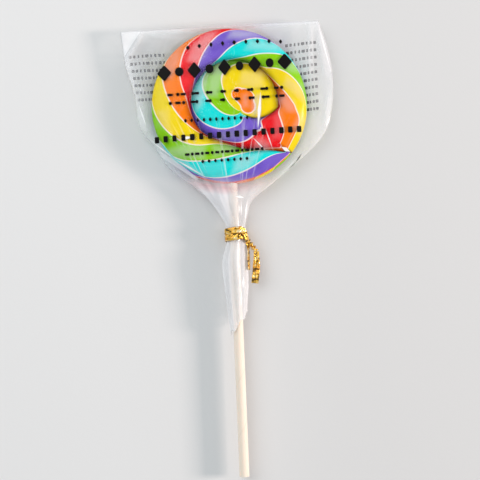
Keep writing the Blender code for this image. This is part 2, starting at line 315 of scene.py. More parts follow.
class Finish(Graph):
    """Base of the surface finishes: one material with its shader."""

    def __init__(self, name: str) -> None:
        """Start a material with an empty node tree."""
        self.material = bpy.data.materials.new(name)
        self.material.use_nodes = True
        super().__init__(self.material.node_tree)
        self.tree.nodes.clear()
        self.output = self.node("ShaderNodeOutputMaterial")
        self.place = self.node("ShaderNodeTexCoord").outputs["Object"]

    def attribute(self, name: str) -> Field:
        """Read one number stored on the piece."""
        made = self.node("ShaderNodeAttribute", {"attribute_name": name})
        return Field(self, made.outputs["Fac"])

    def vector(self, operation: str, *values: Any) -> bpy.types.NodeSocket:
        """Put vectors through a Vector Math node."""
        made = self.node("ShaderNodeVectorMath", {"operation": operation}, dict(enumerate(values)))
        return made.outputs[0]

    def stretched(self, along: Point) -> bpy.types.NodeSocket:
        """Object coordinates scaled along each axis."""
        return self.vector("MULTIPLY", self.place, along)

    def bump(self, height: Number, depth: float, normal: Any = None) -> bpy.types.NodeSocket:
        """Fine relief.

        Args:
            height: The relief, from nought to one.
            depth: Depth of the relief in metres.
            normal: The normal that it starts from, or none for the plain surface.

        Returns:
            The tilted normal.
        """
        sockets = {"Height": height, "Distance": depth}
        if normal is not None:
            sockets["Normal"] = normal
        return self.node("ShaderNodeBump", None, sockets).outputs[0]

    def tilted(self, layers: Iterable[tuple[Any, float]]) -> bpy.types.NodeSocket:
        """Tilt the normal by flat facets.

        Args:
            layers: Coordinates of the facets and how far they tilt, for each layer of them.

        Returns:
            The tilted normal.
        """
        normal = self.node("ShaderNodeNewGeometry").outputs["Normal"]
        for place, amount in layers:
            cells = self.node("ShaderNodeTexVoronoi", {"feature": "F1"}, {"Vector": place, "Scale": 1.0})
            centred = self.vector("SUBTRACT", cells.outputs["Color"], (0.5, 0.5, 0.5))
            normal = self.vector("ADD", normal, self.vector("MULTIPLY", centred, (amount, amount, amount)))
        return self.vector("NORMALIZE", normal)

    def principled(self, sockets: Mapping[str, Any]) -> bpy.types.Node:
        """Add the main shader with these sockets."""
        return self.node("ShaderNodeBsdfPrincipled", None, sockets)

    def mixed(self, share: Number, first: bpy.types.Node, second: bpy.types.Node) -> bpy.types.Node:
        """Mix two shaders."""
        return self.node("ShaderNodeMixShader", None, {0: share, 1: first.outputs[0], 2: second.outputs[0]})

    def show(self, shader: bpy.types.Node) -> None:
        """Send a shader to the surface."""
        self.tree.links.new(shader.outputs[0], self.output.inputs["Surface"])


class Sugar(Enum):
    """Colours of the strands, in their order round the coil."""

    PURPLE = tint("765AC8")
    TURQUOISE = tint("00DCDA")
    GREEN = tint("89CC00")
    YELLOW = tint("F1D400")
    ORANGE = tint("F87C00")
    RED = tint("EE0014")


@dataclass(frozen=True)
class SugarFinish:
    """Glossy boiled sugar in six twisted strands with a pale thread between them, and painted shade in the
    groove.
    """

    thread_half: float = 0.03
    thread_soft: float = 0.012
    thread_share: float = 0.85
    thread: Colour = tint("FFE9E4")
    pale: Colour = tint("FFF4EC")
    # Painted shade: the colour that darkens the sugar in the groove between the turns
    shadow: Colour = tint("54382E")
    shadow_share: float = 0.85
    groove_share: float = 0.95
    groove_power: float = 1.5
    roughness: float = 0.2
    roughness_spread: float = 0.12
    refraction: float = 1.2
    streak_pace: Point = (22.0, 2.0, 60.0)
    streak_share: float = 0.16
    streak_depth: float = 0.05 * MM
    cloud_scale: float = 160.0
    cloud_start: float = 0.52
    cloud_share: float = 1.2
    ripple_scale: float = 90.0
    ripple_depth: float = 0.12 * MM

    def make(self) -> bpy.types.Material:
        """Build the material.

        Returns:
            The finished material.
        """
        surface = Finish("candy_sugar")
        strand = surface.attribute("strand")
        _, _, z = surface.parts(surface.place)
        along, across, through = self.streak_pace
        lengthwise = surface.joined(strand * along, surface.attribute("share") * across, z * through)
        streak = surface.noise(lengthwise, 1.0, 3.0, 0.6)
        cloud = surface.noise(surface.place, self.cloud_scale, 2.0)
        ripple = surface.noise(surface.place, self.ripple_scale, 1.0)
        relief = streak * (self.streak_depth / self.ripple_depth) + ripple
        surface.show(surface.principled({
            "Base Color": self.coloured(surface, strand, streak, cloud),
            "Roughness": self.roughness + (cloud - 0.5) * self.roughness_spread,
            "IOR": self.refraction,
            "Normal": surface.bump(relief, self.ripple_depth),
        }))
        return surface.material

    def coloured(self, surface: Finish, strand: Field, streak: Field, cloud: Field) -> bpy.types.NodeSocket:
        """Strand colours with streaks, deeper clouds, painted shade in the grooves and pale threads.

        Args:
            surface: The finish that they belong to.
            strand: Number of the strand.
            streak: Fine pattern along the strands.
            cloud: Broad pattern.

        Returns:
            The colour.
        """
        # How near the groove each place is, which sets the painted groove shade
        seam = surface.attribute("crease")
        cycle = (strand / float(len(Sugar))).maths("FRACT")
        stops = [(index / len(Sugar), colour.value) for index, colour in enumerate(Sugar)]
        ramp = surface.node("ShaderNodeValToRGB", {"blend": "CONSTANT", "stops": stops}, {0: cycle})
        plain = ramp.outputs[0]
        lit = surface.blended(((streak - 0.5) * self.streak_share).clamped(), plain, self.pale)
        deep = surface.blended(1.0, plain, plain, "MULTIPLY")
        body = surface.blended(((cloud - self.cloud_start) * self.cloud_share).clamped(), lit, deep)
        # Painted shade in the groove between the turns
        painted_groove_shade = surface.blended(self.shadow_share, deep, self.shadow, "MULTIPLY")
        with_groove_shade = surface.blended((seam ** self.groove_power) * self.groove_share, body, painted_groove_shade)
        nearest = (strand - strand.maths("ROUND")).size()
        line = 1.0 - ((nearest - self.thread_half) / self.thread_soft).clamped()
        # The pale threads are dimmed by the painted groove shade
        return surface.blended(line * (1.0 - seam * 0.75) * self.thread_share, with_groove_shade, self.thread)


@dataclass(frozen=True)
class PaperFinish:
    """Rolled white paper with a winding seam and faint fibres."""

    paper: Colour = tint("EFE2D3")
    shade: Colour = tint("E4D5C2")
    seam_pitch: float = 21.0 * MM
    seam_width: float = 0.05
    fibre_pace: Point = (900.0, 160.0, 900.0)
    mottle_scale: float = 120.0
    roughness: float = 0.62
    glow: float = 0.6
    glow_radius: Point = (1.0, 0.9, 0.8)
    glow_depth: float = 1.6 * MM
    relief_depth: float = 0.06 * MM

    def make(self) -> bpy.types.Material:
        """Build the material.

        Returns:
            The finished material.
        """
        surface = Finish("white_paper")
        x, y, z = surface.parts(surface.place)
        round_share = (z - MIDDLE_HEIGHT).maths("ARCTAN2", x) / math.tau
        winding = (y / self.seam_pitch + round_share).maths("FRACT")
        step = 1.0 - (winding / self.seam_width).clamped()
        fibres = surface.noise(surface.stretched(self.fibre_pace), 1.0, 4.0, 0.7)
        mottle = surface.noise(surface.place, self.mottle_scale, 2.0)
        share = (fibres - 0.35) * 0.35 + (mottle - 0.4) * 0.3 + step * 0.5
        surface.show(surface.principled({
            "Base Color": surface.blended(share.clamped(), self.paper, self.shade),
            "Roughness": self.roughness + (fibres - 0.5) * 0.2,
            "Subsurface Weight": self.glow,
            "Subsurface Radius": self.glow_radius,
            "Subsurface Scale": self.glow_depth,
            "Normal": surface.bump(fibres * 0.3 + winding * 0.8, self.relief_depth),
        }))
        return surface.material


@dataclass(frozen=True)
class MilkAndSheenPatch:
    """Patch of white on the film for milk, painted highlights and reflections; its corners in millimetres run
    anticlockwise.
    """

    corners: tuple[Flat, ...]
    share: float
    crisp_edge: float = 0.25 * MM
    soft_edge: float = 3.4
    soft_start: float = 0.42

    def sides(self) -> Iterator[Point]:
        """Inward direction of each side, with the side's own place along it."""
        for (ax, ay), (bx, by) in zip(self.corners, self.corners[1:] + self.corners[:1]):
            length = math.hypot(bx - ax, by - ay)
            nx = (ay - by) / length
            ny = (bx - ax) / length
            yield nx, ny, ax * nx + ay * ny

    def mask(self, x: Field, y: Field) -> Field:
        """The patch's share of white with crisp edges.

        Args:
            x: Object coordinate in metres.
            y: Object coordinate in metres.

        Returns:
            The share inside the corners and nought outside.
        """
        inside = None
        for nx, ny, place in self.sides():
            step = ((x * nx + y * ny - place * MM) / self.crisp_edge + 0.5).clamped()
            inside = step if inside is None else inside.least(step)
        return inside * self.share

    def at(self, x: float, y: float) -> float:
        """The patch's share of white with soft edges.

        Args:
            x: Place in millimetres.
            y: Place in millimetres.

        Returns:
            The share at that place.
        """
        inside = 1.0
        for nx, ny, place in self.sides():
            inside = min(inside, (x * nx + y * ny - place) / self.soft_edge + self.soft_start)
            if inside <= 0.0:
                return 0.0
        return smooth(inside) * self.share


def glint(start: Flat, end: Flat, width: float, share: float = 0.8) -> MilkAndSheenPatch:
    """Narrow painted highlight along a crease, as a slim pointed patch.

    Args:
        start: One end in millimetres.
        end: Other end in millimetres.
        width: Width at the middle in millimetres.
        share: How white it is.

    Returns:
        The patch.
    """
    dx = end[0] - start[0]
    dy = end[1] - start[1]
    length = math.hypot(dx, dy)
    nx = -dy / length * width / 2.0
    ny = dx / length * width / 2.0
    middle = ((start[0] + end[0]) / 2.0, (start[1] + end[1]) / 2.0)
    return MilkAndSheenPatch((start, (middle[0] - nx, middle[1] - ny), end, (middle[0] + nx, middle[1] + ny)), share)


@dataclass(frozen=True)
class FilmFinish:
    """Clear thin film: flat facets fanning out from the neck, painted highlights along creases, painted dark
    reflections and milky folds.
    """

    clear: Colour = (0.996, 0.999, 0.998, 1.0)
    mirror: Colour = (0.97, 0.99, 1.0, 1.0)
    white: Colour = tint("FBFBFE")
    dim: Colour = tint("2C2E2C")
    # Painted light: red of the candy's rim showing through the milky film
    blush: Colour = tint("E8808C")
    blush_share: float = 0.5
    blush_radius: float = 33.3 * MM
    blush_width: float = 2.8 * MM
    blush_y: float = -28.5 * MM
    bright: Colour = (1.0, 1.0, 1.0, 1.0)
    facing_share: float = 0.006
    grazing_share: float = 0.22
    grazing_power: float = 2.4
    haze_share: float = 0.55
    ray_share: float = 0.2
    ray_start: float = 14.0 * MM
    ray_end: float = 34.0 * MM
    neck_x: float = 0.6 * MM
    neck_y: float = -52.0 * MM
    neck_depth: float = 4.0 * MM
    facet_tilt: float = 0.16
    narrow_share: float = 0.55
    ripple_pace: Point = (300.0, 220.0, 300.0)
    ripple_depth: float = 0.12 * MM
    # Milky corners and bands, and painted highlights along the film's creases
    patches: tuple[MilkAndSheenPatch, ...] = (
        MilkAndSheenPatch(((-43.6, 33.4), (-41.9, 21.4), (-33.4, 33.4)), 0.5),
        MilkAndSheenPatch(((33.0, 34.0), (32.7, 12.6), (34.5, 12.4), (35.2, 34.0)), 0.22),
        MilkAndSheenPatch(((36.3, 34.0), (40.9, 12.4), (43.2, 12.4), (38.6, 34.0)), 0.3),
        MilkAndSheenPatch(((-38.6, 6.0), (-37.2, -7.2), (-33.2, -9.6), (-36.6, 2.4)), 0.3),
        MilkAndSheenPatch(((-33.0, -12.4), (-28.0, -19.8), (-14.0, -29.8), (-13.0, -27.0), (-24.0, -20.0)), 0.36),
        glint((12.7, 4.2), (11.2, -9.4), 1.3, 0.95),
        glint((-36.6, 2.4), (-33.8, -6.8), 0.8),
        glint((-19.8, -12.5), (-15.0, -12.3), 1.1, 0.9),
        glint((-33.0, -12.0), (-22.4, -21.0), 0.7, 0.6),
        glint((-23.2, -20.4), (-11.0, -28.2), 0.8, 0.6),
        glint((40.8, -5.0), (38.8, -10.0), 1.0, 0.85),
        glint((20.2, -17.6), (23.6, -19.6), 1.5, 0.7),
        glint((9.1, -13.6), (13.6, -18.6), 0.6, 0.6),
        glint((14.2, -10.4), (16.6, -18.0), 0.5, 0.5),
        glint((37.0, 33.0), (41.8, 12.0), 0.8, 0.6),
        glint((28.6, -20.2), (19.0, -29.0), 0.35, 0.45),
        glint((5.8, -37.6), (4.3, -47.4), 0.7, 0.8),
        glint((0.9, -36.6), (4.4, -37.2), 1.1, 0.9),
        glint((3.3, -38.4), (3.0, -44.8), 0.6, 0.7),
        glint((-11.5, -32.5), (-3.4, -46.5), 0.5, 0.45),
        glint((-5.6, -60.4), (-5.7, -64.0), 0.7, 0.8),
        glint((2.9, -68.4), (2.5, -74.2), 0.9, 0.9),
        glint((1.9, -74.4), (1.5, -81.0), 0.7, 0.8),
        glint((3.9, -82.0), (3.9, -85.6), 0.8, 0.8),
    )

    # Painted dark reflections along two creases below the disc's right rim
    dark_lines: tuple[MilkAndSheenPatch, ...] = (
        glint((28.4, -20.4), (25.8, -23.9), 0.6, 0.5),
        glint((26.4, -23.2), (22.8, -26.6), 0.45, 0.35),
    )

    def make(self) -> bpy.types.Material:
        """Build the material.

        Returns:
            The finished material.
        """
        surface = Finish("clear_film")
        x, y, z = surface.parts(surface.place)
        neck_x = x - self.neck_x
        neck_y = y - self.neck_y
        turn = neck_x.maths("ARCTAN2", neck_y.size() + self.neck_depth)
        reach = (neck_x * neck_x + neck_y * neck_y).maths("SQRT")
        fine = surface.noise(surface.stretched(self.ripple_pace), 1.0, 2.0, 0.5)
        normal = surface.bump(fine, self.ripple_depth, self.facets(surface, turn, reach))
        upper = z.above(MIDDLE_HEIGHT)
        # Painted highlights and painted reflection streaks on the upper film
        glow = self.strongest(self.patches, x, y).most(self.rays(surface, turn, reach)) * upper
        # Painted dark reflections on the upper film
        shade = self.strongest(self.dark_lines, x, y) * upper
        haze = (surface.attribute("haze") * self.haze_share).most(glow).most(shade)
        plain = self.blushing(surface, x, y, fine)
        # The strongest painted highlights turn pure white
        white = surface.blended(((glow - 0.4) * 4.0).clamped(), plain, self.bright)
        milk = surface.principled({
            "Base Color": surface.blended((shade * 4.0).clamped(), white, self.dim),
            "Roughness": 0.35 + fine * 0.2,
            "Normal": normal,
        })
        clear = self.clear_skin(surface, fine, normal)
        surface.show(surface.mixed(haze.clamped(), clear, milk))
        return surface.material

    def facets(self, surface: Finish, turn: Field, reach: Field) -> bpy.types.NodeSocket:
        """Normal of broad and narrow flat facets that fan out from the neck.

        Args:
            surface: The finish that they belong to.
            turn: Direction from the neck.
            reach: Distance from the neck.

        Returns:
            The tilted normal.
        """
        broad = surface.joined(turn * 7.5, reach * 62.0, 0.0)
        narrow = surface.joined(turn * 24.0, reach * 90.0, 9.0)
        return surface.tilted(((broad, self.facet_tilt), (narrow, self.facet_tilt * self.narrow_share)))

    def clear_skin(self, surface: Finish, fine: Field, normal: bpy.types.NodeSocket) -> bpy.types.Node:
        """See-through film that mirrors more where it is seen from the side.

        Args:
            surface: The finish that it belongs to.
            fine: Fine pattern from nought to one.
            normal: The film's tilted normal.

        Returns:
            The shader.
        """
        edge = Field(surface, surface.node("ShaderNodeLayerWeight", None, {"Blend": 0.3}).outputs["Facing"])
        share = (edge ** self.grazing_power) * self.grazing_share + self.facing_share
        mirror = surface.principled({
            "Base Color": self.mirror,
            "Metallic": 1.0,
            "Roughness": 0.05 + fine * 0.05,
            "Normal": normal,
        })
        through = surface.node("ShaderNodeBsdfTransparent", None, {"Color": self.clear})
        return surface.mixed(share.clamped(), through, mirror)

    def rays(self, surface: Finish, turn: Field, reach: Field) -> Field:
        """Faint painted reflection streaks that run from the neck to the disc.

        Args:
            surface: The finish that they belong to.
            turn: Direction from the neck.
            reach: Distance from the neck.

        Returns:
            Their share of white.
        """
        streaks = surface.noise(surface.joined(turn * 36.0, reach * 16.0, 3.0), 1.0, 1.0)
        from_neck = ((reach - self.ray_start) / (8.0 * MM)).clamped()
        to_disc = 1.0 - ((reach - self.ray_end) / (20.0 * MM)).clamped()
        return ((streaks - 0.59) * 9.0).clamped() * from_neck * to_disc * self.ray_share

    @staticmethod
    def strongest(patches: Iterable[MilkAndSheenPatch], x: Field, y: Field) -> Field:
        """The strongest of some patches at each place.

        Args:
            patches: The patches.
            x: Object coordinate in metres.
            y: Object coordinate in metres.

        Returns:
            Their greatest share of white.
        """
        first, *others = [patch.mask(x, y) for patch in patches]
        for mask in others:
            first = first.most(mask)
        return first

    def blushing(self, surface: Finish, x: Field, y: Field, fine: Field) -> bpy.types.NodeSocket:
        """White with an uneven red tinge, painted light, where the candy's lower rim shines through.

        Args:
            surface: The finish that it belongs to.
            x: Object coordinate in metres.
            y: Object coordinate in metres.
            fine: Fine pattern from nought to one.

        Returns:
            The colour.
        """
        from_middle = (x * x + y * y).maths("SQRT")
        near_rim = (1.0 - ((from_middle - self.blush_radius) / self.blush_width).size()).clamped()
        low = ((self.blush_y - y) / (3.0 * MM)).clamped()
        uneven = 0.45 + (1.0 - (x / (4.0 * MM)).clamped()) * 0.4 + (fine - 0.5) * 1.2
        share = (near_rim * low * uneven * self.blush_share).clamped()
        return surface.blended(share, self.white, self.blush)


@dataclass(frozen=True)
class InkFinish:
    """Near-black printing ink, thin and slightly worn."""

    name: str
    ink: Colour
    worn: Colour
    refraction: float = 1.2
    roughness: float = 0.45
    speckle_scale: float = 2600.0
    wear_scale: float = 240.0
    relief_depth: float = 0.01 * MM

    def make(self) -> bpy.types.Material:
        """Build the material.

        Returns:
            The finished material.
        """
        surface = Finish(self.name)
        speckle = surface.noise(surface.place, self.speckle_scale, 3.0, 0.7)
        wear = surface.noise(surface.place, self.wear_scale, 2.0)
        share = ((speckle - 0.55) * 2.0).clamped() * 0.5 + ((wear - 0.6) * 2.0).clamped()
        surface.show(surface.principled({
            "Base Color": surface.blended(share.clamped(), self.ink, self.worn),
            "IOR": self.refraction,
            "Roughness": self.roughness + speckle * 0.2,
            "Normal": surface.bump(speckle, self.relief_depth),
        }))
        return surface.material


@dataclass(frozen=True)
class FoilFinish:
    """Crinkled gold foil ribbon with painted highlights and painted dark reflections in random patches, and
    painted shade along its middle fold.
    """

    gold: Colour = tint("FAC652")
    deep: Colour = tint("EE982A")
    bright: Colour = tint("FFF0BE")
    dark: Colour = tint("2E1C06")
    metallic: float = 0.62
    roughness: float = 0.14
    crinkle_pace: Point = (900.0, 1300.0, 900.0)
    shard_pace: Point = (520.0, 760.0, 520.0)
    bright_below: float = 0.43
    dark_above: float = 0.555
    broad_scale: float = 420.0
    relief_depth: float = 0.5 * MM

    def make(self) -> bpy.types.Material:
        """Build the material.

        Returns:
            The finished material.
        """
        surface = Finish("gold_foil")
        crinkle = surface.noise(surface.stretched(self.crinkle_pace), 1.0, 3.0, 0.65)
        broad = surface.noise(surface.place, self.broad_scale, 2.0)
        shard = surface.noise(surface.stretched(self.shard_pace), 1.0, 1.0)
        fold = surface.attribute("fold")
        colour = surface.blended(((broad - 0.4) * 2.5).clamped(), self.gold, self.deep)
        # Painted highlights and painted dark reflections in random patches
        lit = surface.blended(((self.bright_below - shard) * 12.0).clamped() * 0.8, colour, self.bright)
        shaded = surface.blended(((shard - self.dark_above) * 16.0).clamped() * 0.9, lit, self.dark)
        surface.show(surface.principled({
            # Painted shade along the ribbon's middle fold
            "Base Color": surface.blended((fold * 0.8).clamped(), shaded, self.dark),
            "Metallic": self.metallic,
            "Roughness": self.roughness + broad * 0.16,
            "Normal": surface.bump(crinkle * 0.5 + broad, self.relief_depth),
        }))
        return surface.material


@dataclass(frozen=True)
class FloorFinish:
    """Matt pale paper ground, with painted light that makes it lighter on the left than on the right."""

    # Painted light: the lighter left colour fades into the darker right one across X
    left: Colour = tint("DEDEDE")
    right: Colour = tint("D4D4D4")
    change_half: float = 60.0 * MM
    roughness: float = 0.85
    cloud_scale: float = 6.0
    grain_scale: float = 900.0
    grain_depth: float = 0.02 * MM

    def make(self) -> bpy.types.Material:
        """Build the material.

        Returns:
            The finished material.
        """
        surface = Finish("pale_ground")
        x, _, _ = surface.parts(surface.place)
        cloud = surface.noise(surface.place, self.cloud_scale, 3.0)
        grain = surface.noise(surface.place, self.grain_scale, 2.0)
        across = (x / self.change_half * 0.5 + 0.5 + (cloud - 0.5) * 0.2).eased()
        surface.show(surface.principled({
            "Base Color": surface.blended(across, self.left, self.right),
            "Roughness": self.roughness,
            "Normal": surface.bump(grain, self.grain_depth),
        }))
        return surface.material


class ShapeTree(Graph):
    """A Geometry Nodes tree with one named input for each size of a piece."""

    def __init__(self, name: str, sizes: Mapping[str, float | int]) -> None:
        """Start the tree.

        Args:
            name: Name of the tree.
            sizes: Each named size with its value.
        """
        super().__init__(bpy.data.node_groups.new(name, "GeometryNodeTree"))
        faces = self.tree.interface
        faces.new_socket(name="Geometry", in_out="INPUT", socket_type="NodeSocketGeometry")
        faces.new_socket(name="Geometry", in_out="OUTPUT", socket_type="NodeSocketGeometry")
        self.sizes = dict(sizes)
        self.identifiers = {}
        for title, value in sizes.items():
            kind = "NodeSocketInt" if isinstance(value, int) else "NodeSocketFloat"
            made = faces.new_socket(name=title, in_out="INPUT", socket_type=kind)
            self.identifiers[title] = made.identifier
        self.inputs = self.node("NodeGroupInput")

    def __getitem__(self, title: str) -> Field:
        """The input with this name."""
        return Field(self, self.inputs.outputs[title])

    def grid(self, size: float, columns: Number, rows: Number) -> bpy.types.NodeSocket:
        """A flat square grid round the origin.

        Args:
            size: Length of its sides.
            columns: Points along X.
            rows: Points along Y.

        Returns:
            The grid.
        """
        made = self.node("GeometryNodeMeshGrid", None, {
            "Size X": size, "Size Y": size, "Vertices X": columns, "Vertices Y": rows,
        })
        return made.outputs["Mesh"]

    def moved(self, geometry: Any, place: Any) -> bpy.types.NodeSocket:
        """Set the places of a shape's points."""
        made = self.node("GeometryNodeSetPosition", None, {"Geometry": geometry, "Position": place})
        return made.outputs[0]

    def flipped(self, geometry: Any) -> bpy.types.NodeSocket:
        """Turn a shape's faces round."""
        return self.node("GeometryNodeFlipFaces", None, {0: geometry}).outputs[0]

    def fused(self, shapes: Iterable[bpy.types.NodeSocket], distance: Number) -> bpy.types.NodeSocket:
        """Join shapes into one.

        Args:
            shapes: The shapes.
            distance: Points closer than this become one.

        Returns:
            The joined shape.
        """
        joined = self.node("GeometryNodeJoinGeometry")
        for shape in shapes:
            self.tree.links.new(shape, joined.inputs[0])
        made = self.node(
            "GeometryNodeMergeByDistance", None, {"Geometry": joined.outputs[0], "Distance": distance},
        )
        return made.outputs[0]

    def store(self, geometry: Any, name: str, value: Number) -> bpy.types.NodeSocket:
        """Keep a number on the corners of a shape.

        Args:
            geometry: The shape.
            name: Name of the attribute.
            value: The number to keep.

        Returns:
            The shape with the attribute.
        """
        made = self.node(
            "GeometryNodeStoreNamedAttribute", {"data_type": "FLOAT", "domain": "CORNER"},
            {"Geometry": geometry, "Name": name, "Value": value},
        )
        return made.outputs[0]

    def close(self, geometry: Any, surface: bpy.types.Material) -> None:
        """End the tree with plain geometry in one material."""
        plain = self.node("GeometryNodeRealizeInstances", None, {0: geometry})
        dressed = self.node(
            "GeometryNodeSetMaterial", None, {"Geometry": plain.outputs[0], "Material": surface},
        )
        self.node("NodeGroupOutput", None, {0: dressed.outputs[0]})

    def grow(self, name: str) -> bpy.types.Object:
        """Evaluate the tree once and keep the result as a plain mesh.

        Args:
            name: Name of the piece.

        Returns:
            An object at the origin with no modifiers.
        """
        holder = link_object(name, bpy.data.meshes.new(name + "_start"))
        change = holder.modifiers.new("shape", "NODES")
        change.node_group = self.tree
        for title, identifier in self.identifiers.items():
            change[identifier] = self.sizes[title]
        ready = bpy.context.evaluated_depsgraph_get()
        grown = bpy.data.meshes.new_from_object(
            holder.evaluated_get(ready), preserve_all_data_layers=True, depsgraph=ready,
        )
        holder.modifiers.remove(change)
        holder.data = grown
        return holder


def link_object(name: str, mesh: bpy.types.Mesh) -> bpy.types.Object:
    """Put a mesh into the scene as an object at the origin."""
    made = bpy.data.objects.new(name, mesh)
    bpy.context.scene.collection.objects.link(made)
    return made


def soften(mesh: bpy.types.Mesh) -> None:
    """Shade every face of a mesh smoothly."""
    for face in mesh.polygons:
        face.use_smooth = True


def finish_mesh(name: str, shape: bmesh.types.BMesh, surface: bpy.types.Material) -> bpy.types.Mesh:
    """Turn a worked shape into a smooth mesh in one material.

    Args:
        name: Name of the mesh.
        shape: The shape, which is freed.
        surface: The material.

    Returns:
        The mesh.
    """
    mesh = bpy.data.meshes.new(name)
    shape.to_mesh(mesh)
    shape.free()
    mesh.materials.append(surface)
    soften(mesh)
    return mesh


def join_rings(
    shape: bmesh.types.BMesh, first: Sequence[bmesh.types.BMVert], second: Sequence[bmesh.types.BMVert],
) -> None:
    """Lay a closed strip of faces between two rings of points.

    Args:
        shape: The shape that it joins.
        first: Points of one ring.
        second: As many points of the other.
    """
    for index, point in enumerate(first):
        following = (index + 1) % len(first)
        shape.faces.new((point, first[following], second[following], second[index]))


def settle(piece: bpy.types.Object, nodes: Sequence[str] = ()) -> None:
    """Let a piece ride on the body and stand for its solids.

    Args:
        piece: The finished piece.
        nodes: Solids that the piece stands for.
    """
    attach(piece, BODY)
    if nodes:
        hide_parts(*nodes)
    piece.data.calc_loop_triangles()
    LOG.info("%s: %d triangles", piece.name, len(piece.data.loop_triangles))


def title_case(name: str) -> str:
    """Turn a field's name into the name of a tree's input."""
    return name.replace("_", " ").title()


@dataclass(frozen=True)
class Candy:
    """The disc: one rope coiled round an off-centre eye, with a groove between its turns."""

    columns: int = 511
    rows: int = 37
    columns_per_turn: int = 250
    disc_radius: float = 31.5 * MM
    rest_height: float = MIDDLE_HEIGHT
    crest_height: float = 4.5 * MM
    groove_height: float = 3.3 * MM
    tip_height: float = 3.5 * MM
    eye_x: float = 4.64 * MM
    eye_y: float = -2.42 * MM
    start_angle: float = math.radians(-41.35)
    groove_circle_radius: float = 17.6 * MM
    groove_circle_x: float = -2.51 * MM
    groove_circle_y: float = 2.94 * MM
    flare_depth: float = 12.5 * MM
    flare_limit: float = 10.1 * MM
    flare_decay: float = 19.0
    dip_depth: float = 1.8 * MM
    dip_centre: float = 81.0
    dip_spread: float = 28.0
    taper_start: float = 315.0
    taper_end: float = 374.4
    fade_start: float = 352.0
    fade_in: float = 10.8
    blunt_end: float = 7.2
    rim_exponent: float = 2.3
    groove_exponent: float = 2.6
    groove_sharpness: float = 0.8
    merge_distance: float = 0.002 * MM
    eye_radius: float = 0.1 * MM
    sliver: float = 0.03 * MM
    tip_length: float = 30.0
    # Where the painted shade of the groove starts across the rope
    crease_start: float = 0.58
    heart_blend: float = 1.4 * MM
    twist_rate: float = 1.5
    even_twist: float = 0.6
    steep_twist: float = 0.4
    twist_steepness: float = 7.0
    fold_place: float = 0.5
    fold_width: float = 0.03
    fold_tip: float = 8.0
    fold_tip_rise: float = 0.26
    fold_length: float = 60.0
    fold_rise: float = 0.12
    pull_start: float = 322.0
    pull_length: float = 36.0
    pull_place: float = 0.2
    unwinding_start: float = 80.0
    unwinding_end: float = 165.0
    unwinding_ease: float = 30.0
    unwinding_share: float = 0.45

    # Turn in degrees at which each colour line crosses the middle of the rope, with its number
    line_turns = (
        (0.0, 0.4), (31.0, 1.0), (82.0, 2.0), (111.5, 3.0), (147.0, 4.0), (173.0, 5.0), (201.0, 6.0),
        (227.0, 7.0), (254.0, 8.0), (277.0, 9.0), (312.0, 10.0), (339.0, 11.0), (372.0, 12.0),
        (436.0, 13.0), (508.0, 14.0), (550.0, 15.0), (562.0, 15.35), (573.0, 15.5), (614.0, 15.85),
        (734.4, 15.9),
    )
    last_line = 16.0
    half_strands = 3.0

    # Turn in degrees where the twist slows, over how many degrees and by how much
    slowings = ((470.0, 40.0, 0.3), (560.0, 60.0, 0.4), (620.0, 80.0, 0.35))

    # Turn in degrees, with the strands that the rim has wrapped over by there
    rim_wraps = (
        (0.0, 2.9), (19.0, 2.9), (24.0, 2.25), (38.0, 2.1), (42.0, 1.45), (50.0, 1.35), (58.0, 1.0),
        (80.0, 0.9), (110.0, 0.4), (150.0, 0.0), (180.0, 0.0),
    )

    # Circles in millimetres whose union is the heart of the swirl
    heart_circles = ((3.6, 4.4, 2.7), (6.5, 2.9, 3.7), (7.5, -0.7, 3.0))

    def make(self, surface: bpy.types.Material) -> bpy.types.Object:
        """Grow the coil as two grids of columns along the rope, fused at its edges.

        Args:
            surface: The sugar finish.

        Returns:
            The finished piece.
        """
        sizes = {title_case(item.name): getattr(self, item.name) for item in fields(self)}
        tree = ShapeTree("coiled_rope", sizes)
        halves = [self.half(tree, side) for side in (1.0, -1.0)]
        fused = tree.fused(halves, tree["Merge Distance"])
        shaded = tree.node("GeometryNodeSetShadeSmooth", None, {"Geometry": fused})
        tree.close(shaded.outputs[0], surface)
        piece = tree.grow("candy_coil")
        self.close_eye(piece.data)
        settle(piece, ["candy"])
        return piece

    def close_eye(self, mesh: bpy.types.Mesh) -> None:
        """Take the folded slivers out where the rope ends in the eye.

        Args:
            mesh: The grown coil.
        """
        shape = bmesh.new()
        shape.from_mesh(mesh)
        eye = Vector((self.eye_x, self.eye_y))
        near = [
            edge for edge in shape.edges
            if all((vertex.co.xy - eye).length < self.eye_radius for vertex in edge.verts)
        ]
        bmesh.ops.dissolve_degenerate(shape, dist=self.sliver, edges=near)
        shape.to_mesh(mesh)
        shape.free()

    @staticmethod
    def to_circle(angle: Field, x: Number, y: Number, radius: Number) -> Field:
        """Distance from the eye to a circle that lies round it.

        Args:
            angle: Direction from the eye.
            x: Centre of the circle from the eye.
            y: Centre of the circle from the eye.
            radius: Radius of the circle.

        Returns:
            The distance.
        """
        dx = angle.maths("COSINE")
        dy = angle.maths("SINE")
        along = dx * x + dy * y
        across = dy * x - dx * y
        return along + (radius * radius - across * across).maths("SQRT")

    def rim(self, tree: ShapeTree, angle: Field) -> Field:
        """Distance from the eye to the rim."""
        return self.to_circle(angle, tree["Eye X"] * -1.0, tree["Eye Y"] * -1.0, tree["Disc Radius"])

